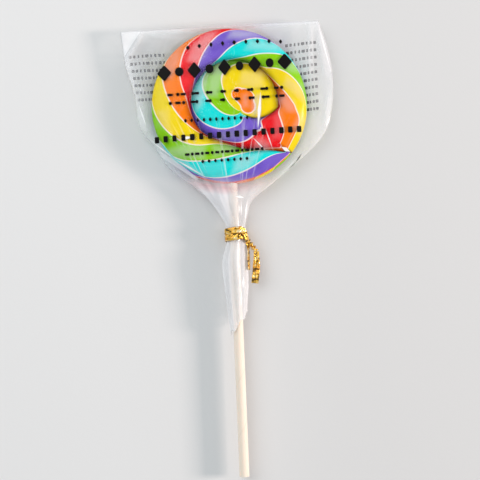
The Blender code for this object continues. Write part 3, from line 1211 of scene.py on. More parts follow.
    def groove(self, tree: ShapeTree, angle: Field, turn: Field) -> Field:
        """Distance from the eye to the groove, which starts at the rim and ends in the eye.

        Args:
            tree: The tree that works it out.
            angle: Direction from the eye.
            turn: Turn along the rope in degrees.

        Returns:
            The distance.
        """
        base = self.to_circle(
            angle, tree["Groove Circle X"], tree["Groove Circle Y"], tree["Groove Circle Radius"],
        )
        decay = (turn / tree["Flare Decay"] * -1.0).maths("EXPONENT")
        flare = (decay * tree["Flare Depth"]).least(tree["Flare Limit"])
        off = (turn - tree["Dip Centre"]) / tree["Dip Spread"]
        dip = (off * off * -1.0).maths("EXPONENT") * tree["Dip Depth"]
        end = tree["Taper End"]
        taper = ((end - turn) / (end - tree["Taper Start"])).clamped()
        inside = (base + flare - dip) * taper
        started = turn.above(0.001)
        return tree.choose(started, self.rim(tree, angle), inside)

    def edge_height(self, tree: ShapeTree, turn: Field) -> Field:
        """Half thickness of the disc along the groove.

        Args:
            tree: The tree that works it out.
            turn: Turn along the rope in degrees.

        Returns:
            The half thickness.
        """
        rising = (turn / tree["Fade In"]).eased() * tree["Groove Height"]
        start = tree["Fade Start"]
        healed = ((turn - start) / (tree["Taper End"] - start)).eased()
        return tree.choose(healed, rising, tree["Crest Height"])

    def half(self, tree: ShapeTree, side: float) -> bpy.types.NodeSocket:
        """Upper or lower half of the rope.

        Args:
            tree: The tree that grows it.
            side: 1 for the upper half, -1 for the lower.

        Returns:
            The half as a mesh that faces out.
        """
        grid = tree.grid(1.0, tree["Columns"], tree["Rows"])
        s, q, _ = tree.parts(tree.node("GeometryNodeInputPosition").outputs[0])
        column = ((s + 0.5) * (tree["Columns"] - 1.0)).maths("ROUND")
        per_turn = tree["Columns Per Turn"]
        turn = column / per_turn * FULL_TURN
        before = (column - per_turn) / per_turn * FULL_TURN
        inner_turn = column.above(per_turn - 0.5)
        share = (q * math.pi).maths("SINE")
        angle = tree["Start Angle"] - turn * math.radians(1.0)
        inner = self.groove(tree, angle, turn)
        outer = tree.choose(inner_turn, self.rim(tree, angle), self.groove(tree, angle, before))
        radius = tree.choose((share + 1.0) * 0.5, inner, outer)
        outer_edge = self.edge_height(tree, before) * inner_turn
        edge = tree.choose(share.above(0.0), self.edge_height(tree, turn), outer_edge)
        x = tree["Eye X"] + radius * angle.maths("COSINE")
        y = tree["Eye Y"] + radius * angle.maths("SINE")
        z = tree["Rest Height"] + self.rope_height(tree, turn, share, edge) * side
        strand = self.hearted(tree, self.strand(tree, turn, share, side), x, y)
        kept = tree.store(grid, "strand", strand)
        kept = tree.store(kept, "share", share)
        # The crease number masks the painted shade in the groove
        kept = tree.store(kept, "crease", self.crease(tree, share, edge, inner_turn))
        placed = tree.moved(kept, tree.joined(x, y, z))
        return placed if side > 0.0 else tree.flipped(placed)

    def rope_height(self, tree: ShapeTree, turn: Field, share: Field, edge: Field) -> Field:
        """Height over the disc's middle, with a rounded section and a blunt outer end.

        Args:
            tree: The tree that works it out.
            turn: Turn along the rope in degrees.
            share: Place across the rope, from -1 inside to 1 outside.
            edge: Height at the rope's own edge.

        Returns:
            The height.
        """
        fullness = (edge / tree["Groove Height"]).clamped()
        blunt = 1.0 - (turn / tree["Blunt End"]).clamped()
        rounded = (1.0 - blunt * blunt).maths("SQRT")
        rising = (turn / tree["Tip Length"]).eased()
        crest = tree.choose(rising, tree["Tip Height"], tree["Crest Height"]) * rounded
        rim_power = tree["Rim Exponent"]
        power = tree.choose(fullness, rim_power, tree["Groove Exponent"])
        sharp = tree.choose(fullness, 1.0 / rim_power, tree["Groove Sharpness"])
        bulge = (1.0 - share.size() ** power).most(0.0) ** sharp
        return edge + (crest - edge) * bulge

    def hearted(self, tree: ShapeTree, strand: Field, x: Field, y: Field) -> Field:
        """Give the heart of the swirl the last colour.

        Args:
            tree: The tree that works it out.
            strand: Number of the strand.
            x: Place on the disc.
            y: Place on the disc.

        Returns:
            The number with the heart in it.
        """
        depth = None
        for circle_x, circle_y, circle_radius in self.heart_circles:
            dx = x - circle_x * MM
            dy = y - circle_y * MM
            inside = circle_radius * MM - (dx * dx + dy * dy).maths("SQRT")
            depth = inside if depth is None else depth.maths("SMOOTH_MAX", inside, tree["Heart Blend"])
        lobe = (depth * 90.0).least(depth * 2000.0) + self.last_line
        return strand.least(self.last_line - 0.05).most(lobe)

    def crease(self, tree: ShapeTree, share: Field, edge: Field, inner_turn: Field) -> Field:
        """How near the groove a place is, as long as the groove hasn't healed; it masks the painted groove
        shade.

        Args:
            tree: The tree that works it out.
            share: Place across the rope, from -1 inside to 1 outside.
            edge: Height at the rope's own edge.
            inner_turn: One past the first turn, whose outer edge is the rim.

        Returns:
            Nought away from the groove and one in it.
        """
        start = tree["Crease Start"]
        inner_side = ((share * -1.0 - start) / (1.0 - start)).clamped()
        outer_side = ((share - start) / (1.0 - start)).clamped() * inner_turn
        low = tree["Groove Height"]
        healing = ((edge - low) / (tree["Crest Height"] - low)).clamped()
        return (inner_side + outer_side) * (1.0 - healing)

    @staticmethod
    def follow(tree: ShapeTree, points: Sequence[Flat], height: float, turn: Field) -> Field:
        """Read a number from a smooth curve through points.

        Args:
            tree: The tree that works it out.
            points: Turns in degrees, each with the number there.
            height: The greatest number.
            turn: Turn along the rope in degrees.

        Returns:
            The number.
        """
        length = points[-1][0]
        spots = [(place / length, number / height) for place, number in points]
        made = tree.node("ShaderNodeFloatCurve", {"points": spots}, {"Value": (turn / length).least(1.0)})
        return Field(tree, made.outputs[0]) * height

    def strand(self, tree: ShapeTree, turn: Field, share: Field, side: float) -> Field:
        """Number of the strand, which grows along the rope and twists round it.

        Args:
            tree: The tree that works it out.
            turn: Turn along the rope in degrees.
            share: Place across the rope, from -1 inside to 1 outside.
            side: 1 for the upper half, -1 for the lower.

        Returns:
            The number, whose whole part picks the colour.
        """
        outside = share.above(0.0)
        along = self.follow(tree, self.line_turns, self.last_line, turn)
        steep = share * (share.size() ** tree["Twist Steepness"])
        twist = share * tree["Even Twist"] + steep * tree["Steep Twist"]
        rate = tree["Twist Rate"]
        for start, length, amount in self.slowings:
            rate = rate - ((turn - start) / length).eased() * amount * outside

        tip = tree["Fold Tip"]
        tip_rise = (turn / tip).least(1.0) * tree["Fold Tip Rise"]
        fold_rise = ((turn - tip) / tree["Fold Length"]).clamped() * tree["Fold Rise"]
        fold_line = tip_rise + fold_rise + tree["Fold Place"]
        over = ((share - fold_line) / tree["Fold Width"]).clamped()
        wrapped = over * self.follow(tree, self.rim_wraps, self.half_strands, turn)

        pull_place = tree["Pull Place"]
        last = ((turn - tree["Pull Start"]) / tree["Pull Length"]).eased()
        last = last * (1.0 - (turn - FULL_TURN).clamped())
        pulled = ((share - pull_place) / (1.0 - pull_place)).eased() * last

        ease = tree["Unwinding Ease"]
        begun = ((turn - tree["Unwinding Start"]) / ease).clamped()
        over_again = ((turn - tree["Unwinding End"]) / ease).clamped()
        unwound = steep * outside * begun * (1.0 - over_again) * tree["Unwinding Share"]
        shifted = along + unwound - wrapped - pulled
        if side > 0.0:
            return shifted - twist * rate
        return shifted - self.half_strands + twist * rate


@dataclass(frozen=True)
class Crease:
    """One straight fold of the film, as a ridge that is sharp along its middle, in millimetres."""

    start: Flat
    end: Flat
    half_width: float
    height: float
    # Whiteness of the fold: milky film, and on the middle crease a painted highlight
    haze: float = 0.0

    def reach(self, x: float, y: float) -> float:
        """How strongly the fold acts at one place, from nought to one.

        Args:
            x: Place in millimetres.
            y: Place in millimetres.

        Returns:
            One on the ridge's middle, falling straight to nought at its sides and ends.
        """
        along_x = self.end[0] - self.start[0]
        along_y = self.end[1] - self.start[1]
        length = math.hypot(along_x, along_y)
        dx = x - self.start[0]
        dy = y - self.start[1]
        along = (dx * along_x + dy * along_y) / (length * length)
        across = abs(dx * along_y - dy * along_x) / length
        fade = smooth(4.0 * along + 0.5) * smooth(4.0 * (1.0 - along) + 0.5)
        return max(0.0, 1.0 - across / self.half_width) * fade


@dataclass(frozen=True)
class Bag:
    """The clear bag: sealed along the top, draped over the disc, gathered at the neck, open below."""

    around: int = 216
    along: int = 192
    film: float = 0.08 * MM
    rest_height: float = MIDDLE_HEIGHT
    edge_half: float = 0.45 * MM
    seam_y: float = 32.6 * MM
    seam_slope: float = 0.0174
    seam_slope_end: float = 10.0 * MM
    seam_exponent: float = 8.0
    hug_radius: float = 25.5 * MM
    drape_end: float = 41.0 * MM
    edge_start: float = 0.85
    neck_start: float = -24.0 * MM
    neck_end: float = -40.0 * MM
    pleats: int = 9
    pleat_depth: float = 0.09
    fan_depth: float = 0.55 * MM
    fan_start: float = -8.0 * MM
    fan_x: float = 0.6 * MM
    fan_y: float = -52.0 * MM
    hem_slope: float = 1.17
    hem_start: float = -70.0 * MM
    hem_y: float = -88.9 * MM
    hem_ragged: float = 1.6 * MM
    tie_y: float = -50.0 * MM
    seam_haze: float = 0.5
    seam_haze_y: float = 31.0 * MM
    edge_haze: float = 0.25
    margin_haze: float = 0.2
    margin_start: float = 31.0 * MM
    veil_start: float = -27.0 * MM

    # Y, left edge X, right edge X and half height, in millimetres
    outline = (
        (32.6, -43.0, 37.6, 5.1),
        (18.0, -41.5, 41.6, 5.1),
        (5.4, -38.4, 42.4, 5.1),
        (-7.5, -36.5, 40.4, 5.1),
        (-15.1, -31.2, 36.1, 5.1),
        (-24.7, -25.0, 25.6, 5.1),
        (-32.0, -16.0, 15.8, 4.8),
        (-38.3, -9.4, 7.6, 4.3),
        (-43.7, -5.6, 5.6, 3.9),
        (-48.4, -3.1, 4.3, 3.3),
        (-51.0, -3.0, 4.2, 3.25),
        (-54.6, -3.1, 4.1, 3.3),
        (-62.0, -5.3, 4.5, 3.8),
        (-72.0, -4.9, 4.4, 3.6),
        (-88.9, -3.1, 3.6, 3.2),
    )

    # Folds of the upper film; their haze is milky film, and a painted highlight on the crease over the disc's
    # middle
    upper_folds = (
        Crease((-35.5, 9.0), (-37.4, 2.9), 2.2, 0.8, 0.25),
        Crease((-37.4, 3.4), (-37.9, -1.9), 2.2, 0.9, 0.3),
        Crease((-37.9, -1.4), (-36.5, -6.4), 2.2, 0.9, 0.3),
        Crease((-36.7, -5.8), (-33.0, -9.5), 2.2, 0.8, 0.25),
        Crease((-33.5, -11.2), (-26.8, -17.3), 1.9, 0.8, 0.25),
        Crease((-27.4, -16.7), (-16.9, -24.2), 1.9, 0.8, 0.3),
        Crease((-17.5, -23.7), (-11.0, -28.4), 1.9, 0.7, 0.25),
        Crease((34.1, 32.0), (33.6, 13.0), 1.8, 0.8, 0.2),
        Crease((37.2, 28.0), (39.8, 10.0), 1.7, 0.7, 0.2),
        Crease((40.3, 3.0), (38.6, -9.6), 1.7, 0.7, 0.25),
        Crease((28.4, -20.4), (18.8, -29.2), 1.3, 0.6, 0.1),
        Crease((-33.7, 31.5), (-41.2, 20.0), 2.4, 0.7, 0.3),
        Crease((-31.0, 30.5), (-12.0, 27.5), 1.8, 0.5, 0.1),
        Crease((31.5, 20.0), (36.8, -1.0), 2.0, 0.5, 0.1),
        Crease((12.7, 3.6), (11.2, -9.0), 0.9, 0.22, 0.7),
    )
    lower_folds = (
        Crease((-33.0, 26.0), (-12.0, -22.0), 2.6, 0.35, 0.1),
        Crease((30.0, 22.0), (14.0, -24.0), 2.6, 0.35, 0.1),
        Crease((-38.0, 6.0), (-24.0, 30.0), 2.2, 0.45, 0.15),
        Crease((36.0, -8.0), (28.0, 28.0), 2.2, 0.45, 0.15),
    )

    # Painted pale reflections on the upper film, each with its share of white and its corners
    sheens = tuple(MilkAndSheenPatch(corners, share) for share, corners in (
        (0.24, ((-11.2, 16.1), (-8.6, 20.8), (-1.7, 29.9), (-7.8, 29.7), (-13.3, 25.1), (-16.4, 18.7))),
        (0.14, ((-21.1, 11.6), (-19.7, 17.2), (-16.6, 22.8), (-17.7, 26.1),
         (-22.3, 22.2), (-26.2, 17.5), (-26.4, 11.8))),
        (0.36, ((5.4, 26.3), (16.7, 25.1), (10.4, 29.4), (2.3, 30.5), (-0.3, 25.8))),
        (0.22, ((17.3, 20.6), (25.8, 19.4), (19.5, 24.5), (9.4, 25.8), (6.4, 19.8))),
        (0.26, ((-9.0, 1.4), (-8.3, 7.0), (-5.6, 14.2), (-10.2, 12.0), (-13.7, 5.6), (-13.2, -1.7))),
        (0.22, ((-3.6, 3.6), (-2.1, 10.8), (0.2, 17.2), (-3.9, 16.6), (-7.8, 11.1), (-8.9, 3.8))),
        (0.12, ((10.3, 6.3), (14.3, 5.3), (13.8, 12.6), (5.7, 13.3), (3.8, 5.7))),
        (0.17, ((25.5, 12.1), (30.3, 9.5), (27.3, 16.9), (21.3, 17.2), (20.7, 12.3))),
        (0.15, ((27.1, 2.3), (30.6, -1.1), (30.2, 7.1), (23.4, 10.6), (22.0, 6.6))),
        (0.16, ((23.2, -3.6), (26.9, -4.1), (25.9, 0.8), (22.3, 4.1), (19.4, 1.4))),
        (0.16, ((14.9, -19.1), (15.8, -15.9), (12.7, -13.3), (9.9, -13.6), (9.3, -18.0))),
        (0.2, ((7.5, -0.9), (7.3, 4.0), (5.7, 3.6), (5.5, -0.8))),
        (0.4, ((11.5, -3.9), (11.8, 3.4), (9.7, 2.6), (9.4, -4.2))),
        (0.2, ((-20.8, -20.0), (-10.7, -21.2), (-10.1, -15.6), (-18.2, -14.9), (-27.6, -17.3))),
        (0.16, ((2.0, -18.5), (1.2, -16.5), (-7.3, -15.7), (-7.0, -20.6))),
        (0.05, ((-3.3, -28.8), (-2.3, -22.4), (-12.8, -22.4), (-14.6, -27.6))),
        (0.26, ((6.5, -26.0), (12.4, -19.8), (1.9, -21.0), (-0.0, -27.4))),
        (0.08, ((-23.6, -9.4), (-24.1, -0.4), (-28.9, -1.0), (-30.0, -7.5))),
        (0.08, ((20.0, -14.4), (21.4, -8.0), (20.9, -2.3), (17.9, -5.4), (16.7, -14.3))),
        (0.12, ((5.4, -13.8), (6.4, -9.4), (-3.4, -9.8), (-6.0, -14.1))),
        (0.14, ((28.9, -14.8), (30.8, -6.7), (28.5, -3.4), (25.0, -9.7))),
    ))

    def outline_at(self, y: float) -> list[float]:
        """Smooth outline of the bag at one place along it.

        Args:
            y: Station along the bag in metres.

        Returns:
            Left edge, right edge and half height.
        """
        y_mm = y / MM
        rows = self.outline
        index = 0
        while index < len(rows) - 2 and y_mm < rows[index + 1][0]:
            index += 1
        upper = rows[index]
        lower = rows[index + 1]
        before = rows[max(0, index - 1)]
        after = rows[min(len(rows) - 1, index + 2)]
        span = lower[0] - upper[0]
        share = (y_mm - upper[0]) / span
        s2 = share * share
        s3 = s2 * share
        values = []
        for item in range(1, len(upper)):
            slope_upper = (lower[item] - before[item]) / (lower[0] - before[0]) * span
            slope_lower = (after[item] - upper[item]) / (after[0] - upper[0]) * span
            if index == 0:
                slope_upper = lower[item] - upper[item]
            values.append(MM * (
                (2.0 * s3 - 3.0 * s2 + 1.0) * upper[item] + (s3 - 2.0 * s2 + share) * slope_upper
                + (3.0 * s2 - 2.0 * s3) * lower[item] + (s3 - s2) * slope_lower
            ))
        return values

    @staticmethod
    def zigzag(phase: float) -> float:
        """Folded wave from -1 to 1 with sharp turns, one period for each whole phase."""
        part = phase - math.floor(phase)
        return 4.0 * abs(part - 0.5) - 1.0

    def wave(self, y: float, index: int) -> float:
        """Waves of the gathered film.

        Args:
            y: Station along the bag.
            index: Place round the ring.

        Returns:
            The sum of the waves, from about -1.35 to 1.35.
        """
        share = index / self.around
        waves = 0.6 * self.zigzag(self.pleats * share + 0.2 + 3.0 * y)
        waves += 0.4 * self.zigzag(5.0 * share + 0.55 - 6.0 * y)
        return waves + 0.35 * math.sin(2.0 * math.tau * share + 190.0 * y) * math.sin(130.0 * y + 1.0)

    def closing(self, y: float) -> float:
        """How far the bag is open at one place along it, from nought at the sealed top to one."""
        share = max(0.0, y) / (self.seam_y * 1.0001)
        return max(0.0, 1.0 - share ** self.seam_exponent) ** (1.0 / self.seam_exponent)

    def fan(self, x: float, y: float, upward: float) -> float:
        """Lift of the fine folds that fan out from the neck.

        Args:
            x: Place in metres.
            y: Place in metres.
            upward: Positive on the upper film, negative on the lower.

        Returns:
            The lift in metres.
        """
        share = smooth((self.fan_start - y) / (self.fan_start - self.neck_start))
        slack = clamp((math.hypot(x, y) - 24.0 * MM) / (9.0 * MM))
        turn = math.atan2(x - self.fan_x, y - self.fan_y)
        waves = self.zigzag(turn * 4.6 + 0.3 * upward) + 0.6 * self.zigzag(turn * 8.3 + 0.1)
        return share * slack * self.fan_depth * waves

    def veil(self, x: float, y: float, neck: float, wave: float) -> float:
        """Haze of the gathered neck and of the skirt below the tie, with painted reflection that whitens the
        neck's left side.

        Args:
            x: Place in metres.
            y: Place in metres.
            neck: How far the film is gathered.
            wave: Wave of the gathered film.

        Returns:
            The haze with its painted reflection.
        """
        above_tie = smooth((y - self.tie_y) / (3.0 * MM))
        crest = max(0.0, wave)
        # Painted reflection: the neck's film is whiter on its left
        gathered = 0.36 + 0.2 * crest + 0.5 * smooth((0.5 - x / MM) / 3.0)
        gathered *= smooth((self.veil_start - y) / (8.0 * MM)) * above_tie
        return gathered + neck * (1.0 - above_tie) * (0.56 + 0.36 * crest)

    def shifted(self, x: float, y: float, centre: float, angle: float) -> float:
        """Place along the bag with the slopes of its seam and its hem and the hem's ragged cut.

        Args:
            x: Place in metres.
            y: Station along the bag.
            centre: Middle of the bag there.
            angle: Direction round the ring.

        Returns:
            The place in metres.
        """
        seam_share = smooth((y - self.seam_slope_end) / (self.seam_y - self.seam_slope_end))
        hem_share = smooth((self.hem_start - y) / (self.hem_start - self.hem_y))
        ragged = self.hem_ragged * hem_share ** 3 * (0.5 + 0.5 * math.sin(5.0 * angle + 0.8))
        return y + self.seam_slope * x * seam_share + self.hem_slope * (x - centre) * hem_share + ragged

    def point(self, y: float, index: int) -> tuple[Point, float]:
        """One point of the film.

        Args:
            y: Station along the bag.
            index: Place round the ring, starting at the right edge and going over the top.

        Returns:
            The point and how hazy the film is there, with the painted sheens.
        """
        left, right, half_height = self.outline_at(y)
        neck = smooth((self.neck_start - y) / (self.neck_start - self.neck_end))
        half_width = (right - left) / 2.0
        centre = (right + left) / 2.0
        angle = math.tau * index / self.around
        half = self.around // 2
        even = 1.0 - 2.0 * index / half if index <= half else 2.0 * (index - half) / half - 1.0
        across = mix(even, math.cos(angle), neck)
        upward = 0.0
        if index % half:
            upward = 1.0 if index < half else -1.0
        wave = self.wave(y, index)
        pleat = 1.0 + self.pleat_depth * neck * wave
        x = centre + half_width * across * pleat
        reach = math.hypot(x, y)

        closing = self.closing(y)
        fall = clamp((reach - self.hug_radius) / (self.drape_end - self.hug_radius))
        drape = 0.5 + 0.5 * math.cos(math.pi * fall)
        edge_share = clamp((abs(across) - self.edge_start) / (1.0 - self.edge_start))
        rounding = math.sqrt(1.0 - edge_share * edge_share)
        full = self.rest_height - self.edge_half
        pouch = (self.edge_half + full * drape * closing) * rounding
        tube = half_height * math.sqrt(max(0.0, 1.0 - across * across)) * pleat

        lift, haze = self.folds(x / MM, y / MM, upward)
        lift += self.fan(x, y, upward)
        loose = rounding * closing * (1.0 - neck) * (1.0 - drape * 0.8)
        height = min(mix(pouch, tube, neck) + loose * lift, self.rest_height)

        # Milky haze at the margins and side edges, which also stands in for painted reflection
        margin = self.margin_haze * smooth((reach - self.margin_start) / (3.0 * MM))
        haze += (self.edge_haze * edge_share * edge_share + margin) * (1.0 - neck)
        haze += self.veil(x, y, neck, wave)
        place = (x, self.shifted(x, y, centre, angle), self.rest_height + upward * height)
        return place, clamp(haze)

    def folds(self, x: float, y: float, upward: float) -> tuple[float, float]:
        """Lift and haze of the folds at one place, with the painted sheens on the upper film.

        Args:
            x: Place in millimetres.
            y: Place in millimetres.
            upward: Positive on the upper film, negative on the lower.

        Returns:
            The lift in metres and the haze with the painted sheens.
        """
        lift = 0.0
        haze = 0.0
        for crease in self.upper_folds if upward > 0.0 else self.lower_folds:
            reach = crease.reach(x, y)
            lift += crease.height * MM * reach
            haze = max(haze, crease.haze * reach ** 2.0)
        if upward > 0.0:
            haze = max([haze] + [sheen.at(x, y) for sheen in self.sheens])
        wander = 0.18 * self.zigzag(0.11 * x + 0.05 * y) * self.zigzag(0.035 * x - 0.09 * y + 0.3)
        return lift + wander * MM, haze

    def make(self, surface: bpy.types.Material) -> bpy.types.Object:
        """Build the film as one thin closed skin.

        Args:
            surface: The film finish.

        Returns:
            The finished piece.
        """
        shape = bmesh.new()
        layer = shape.verts.layers.float.new("haze")
        rings = []
        for step in range(self.along + 1):
            y = mix(self.seam_y, self.hem_y, step / self.along)
            seam_haze = self.seam_haze * smooth((y - self.seam_haze_y) / (1.0 * MM))
            ring = []
            for index in range(self.around):
                place, haze = self.point(y, index)
                vertex = shape.verts.new(place)
                vertex[layer] = max(haze, seam_haze)
                ring.append(vertex)
            rings.append(ring)
        for first, second in zip(rings, rings[1:]):
            join_rings(shape, first, second)
        self.close_seam(shape, rings[0])
        bmesh.ops.recalc_face_normals(shape, faces=shape.faces)
        piece = link_object("film_bag", finish_mesh("film", shape, surface))
        thicken(piece, self.film)
        settle(piece, ["bag"])
        return piece

    def close_seam(self, shape: bmesh.types.BMesh, ring: Sequence[bmesh.types.BMVert]) -> None:
        """Join the upper and the lower film along the sealed top.

        Args:
            shape: The film.
            ring: Its first ring of points.
        """
        half = self.around // 2
        for index in range(1, half - 1):
            mirrored = self.around - index
            shape.faces.new((ring[index], ring[mirrored], ring[mirrored - 1], ring[index + 1]))
        shape.faces.new((ring[0], ring[self.around - 1], ring[1]))
        shape.faces.new((ring[half], ring[half - 1], ring[half + 1]))


def thicken(piece: bpy.types.Object, thickness: float) -> None:
    """Give an open shell its wall, inwards, and keep the result as a plain mesh.

    Args:
        piece: The shell, whose faces point outwards.
        thickness: Thickness of the wall.
    """
    wall = piece.modifiers.new("wall", "SOLIDIFY")
    wall.thickness = thickness
    wall.offset = -1.0
    wall.use_rim = True
    bake(piece)


def bake(piece: bpy.types.Object) -> None:
    """Turn a piece with modifiers into a plain smooth mesh."""
    ready = bpy.context.evaluated_depsgraph_get()
    plain = bpy.data.meshes.new_from_object(
        piece.evaluated_get(ready), preserve_all_data_layers=True, depsgraph=ready,
    )
    piece.modifiers.clear()
    piece.data = plain
    soften(plain)


class Mark(Enum):
    """Plain shapes that the print is made of, as the power of their rounded outline."""

    DIAMOND = 1.0
    DOT = 2.0
    BLOCK = 8.0


@dataclass(frozen=True)
class PrintRow:
    """One row of evenly spaced marks, in millimetres."""

    start: Flat
    end: Flat
    bow: float
    count: int
    mark: Mark
    width: float
    height: float
    cells: int = 3


@dataclass(frozen=True)
class Print:
    """Rows of plain marks printed on the outside of the film."""

    name: str
    rows: tuple[PrintRow, ...]
    from_above: bool
    narrowest: float = 0.85
    sunk: float = 0.03 * MM
    thickness: float = 0.08 * MM
    far: float = 50.0 * MM
    ray_length: float = 1.0
    merge_distance: float = 0.001 * MM
    seed: int = 7
    tiny: float = 0.0001

    def make(self, film: bpy.types.Object, surface: bpy.types.Material) -> bpy.types.Object:
        """Grow each row on the film and join the rows.

        Args:
            film: The piece that carries the print.
            surface: The ink.

        Returns:
            The finished piece.
        """
        grown = [self.row(line, film, surface) for line in self.rows]
        joined = bmesh.new()
        for part in grown:
            joined.from_mesh(part.data)
            bpy.data.objects.remove(part)
        piece = link_object(self.name, finish_mesh(self.name, joined, surface))
        settle(piece)
        return piece

    def row(self, line: PrintRow, film: bpy.types.Object, surface: bpy.types.Material) -> bpy.types.Object:
        """Grow one row of marks as thin closed slabs that follow the film.

        Args:
            line: The row.
            film: The piece that carries it.
            surface: The ink.

        Returns:
            The row as a plain mesh object.
        """
        side = 1.0 if self.from_above else -1.0
        tree = ShapeTree("print_row", {
            "Start X": line.start[0] * MM, "Start Y": line.start[1] * MM,
            "End X": line.end[0] * MM, "End Y": line.end[1] * MM, "Bow": line.bow * MM,
            "Count": line.count, "Mark Width": line.width * MM, "Mark Height": line.height * MM,
            "Roundness": line.mark.value, "Cells": line.cells + 1, "Sunk": self.sunk,
            "Thickness": self.thickness, "Far": self.far, "Seed": self.seed,
        })
        x, y, _ = tree.parts(tree.node("GeometryNodeInputPosition").outputs[0])
        marks = self.marks(tree, x, y)
        height = self.height_on(tree, film, x, y)
        base = tree.moved(marks, tree.joined(x, y, height - tree["Sunk"] * side))
        rise = tree.node("GeometryNodeExtrudeMesh", {"mode": "FACES"}, {
            "Mesh": base, "Offset": (0.0, 0.0, side), "Offset Scale": tree["Thickness"],
            "Individual": False,
        })
        shown = tree.fused([rise.outputs[0], tree.flipped(base)], self.merge_distance)
        tree.close(shown if self.from_above else tree.flipped(shown), surface)
        return tree.grow("print_row")

    def marks(self, tree: ShapeTree, x: Field, y: Field) -> bpy.types.NodeSocket:
        """Lay flat marks along the row, each with a width of its own.

        Args:
            tree: The tree that lays them.
            x: Place of each point.
            y: Place of each point.

        Returns:
            The marks at height nought.
        """
        power = tree["Roundness"]
        span = x.size().most(y.size()).most(self.tiny)
        norm = ((x.size() ** power + y.size() ** power).most(0.000001)) ** (1.0 / power)
        squeeze = span / norm * 0.5
        outline = tree.joined(
            x * squeeze * tree["Mark Width"], y * squeeze * tree["Mark Height"], 0.0,
        )
        mark = tree.moved(tree.grid(2.0, tree["Cells"], tree["Cells"]), outline)

        index = Field(tree, tree.node("GeometryNodeInputIndex").outputs[0])
        share = (index + 0.5) / tree["Count"]
        arch = 1.0 - (share * 2.0 - 1.0) * (share * 2.0 - 1.0)
        spot_x = tree.choose(share, tree["Start X"], tree["End X"])
        spot_y = tree.choose(share, tree["Start Y"], tree["End Y"]) + arch * tree["Bow"]
        dots = tree.node("GeometryNodeMeshLine", {"mode": "OFFSET"}, {"Count": tree["Count"]})
        laid = tree.moved(dots.outputs[0], tree.joined(spot_x, spot_y, 0.0))
        random = tree.node(
            "FunctionNodeRandomValue", {"data_type": "FLOAT"},
            {"Min": self.narrowest, "Max": 1.0, "Seed": tree["Seed"]},
        )
        stretch = tree.joined(Field(tree, random.outputs[1]), 1.0, 1.0)
        placed = tree.node(
            "GeometryNodeInstanceOnPoints", None, {"Points": laid, "Instance": mark, "Scale": stretch},
        )
        return tree.node("GeometryNodeRealizeInstances", None, {0: placed.outputs[0]}).outputs[0]

    def height_on(self, tree: ShapeTree, film: bpy.types.Object, x: Field, y: Field) -> Field:
        """Height of the film at each place, found by a ray along Z.

        Args:
            tree: The tree that works it out.
            film: The piece that carries the print.
            x: Place of each point.
            y: Place of each point.

        Returns:
            The height.
        """
        side = 1.0 if self.from_above else -1.0
        carrier = tree.node("GeometryNodeObjectInfo", {"transform_space": "ORIGINAL"}, {"Object": film})
        hit = tree.node("GeometryNodeRaycast", {"data_type": "FLOAT"}, {
            "Target Geometry": carrier.outputs["Geometry"],
            "Source Position": tree.joined(x, y, tree["Far"] * side),
            "Ray Direction": (0.0, 0.0, -side), "Ray Length": self.ray_length,
        })
        _, _, height = tree.parts(hit.outputs["Hit Position"])
        return height


@dataclass(frozen=True)
class Strip:
    """One length of ribbon: its middle line, its section and how creased it is."""

    centres: list[Vector]
    facings: list[Vector]
    widths: list[float]
    thickness: float
    crinkle: float
    pressed: float


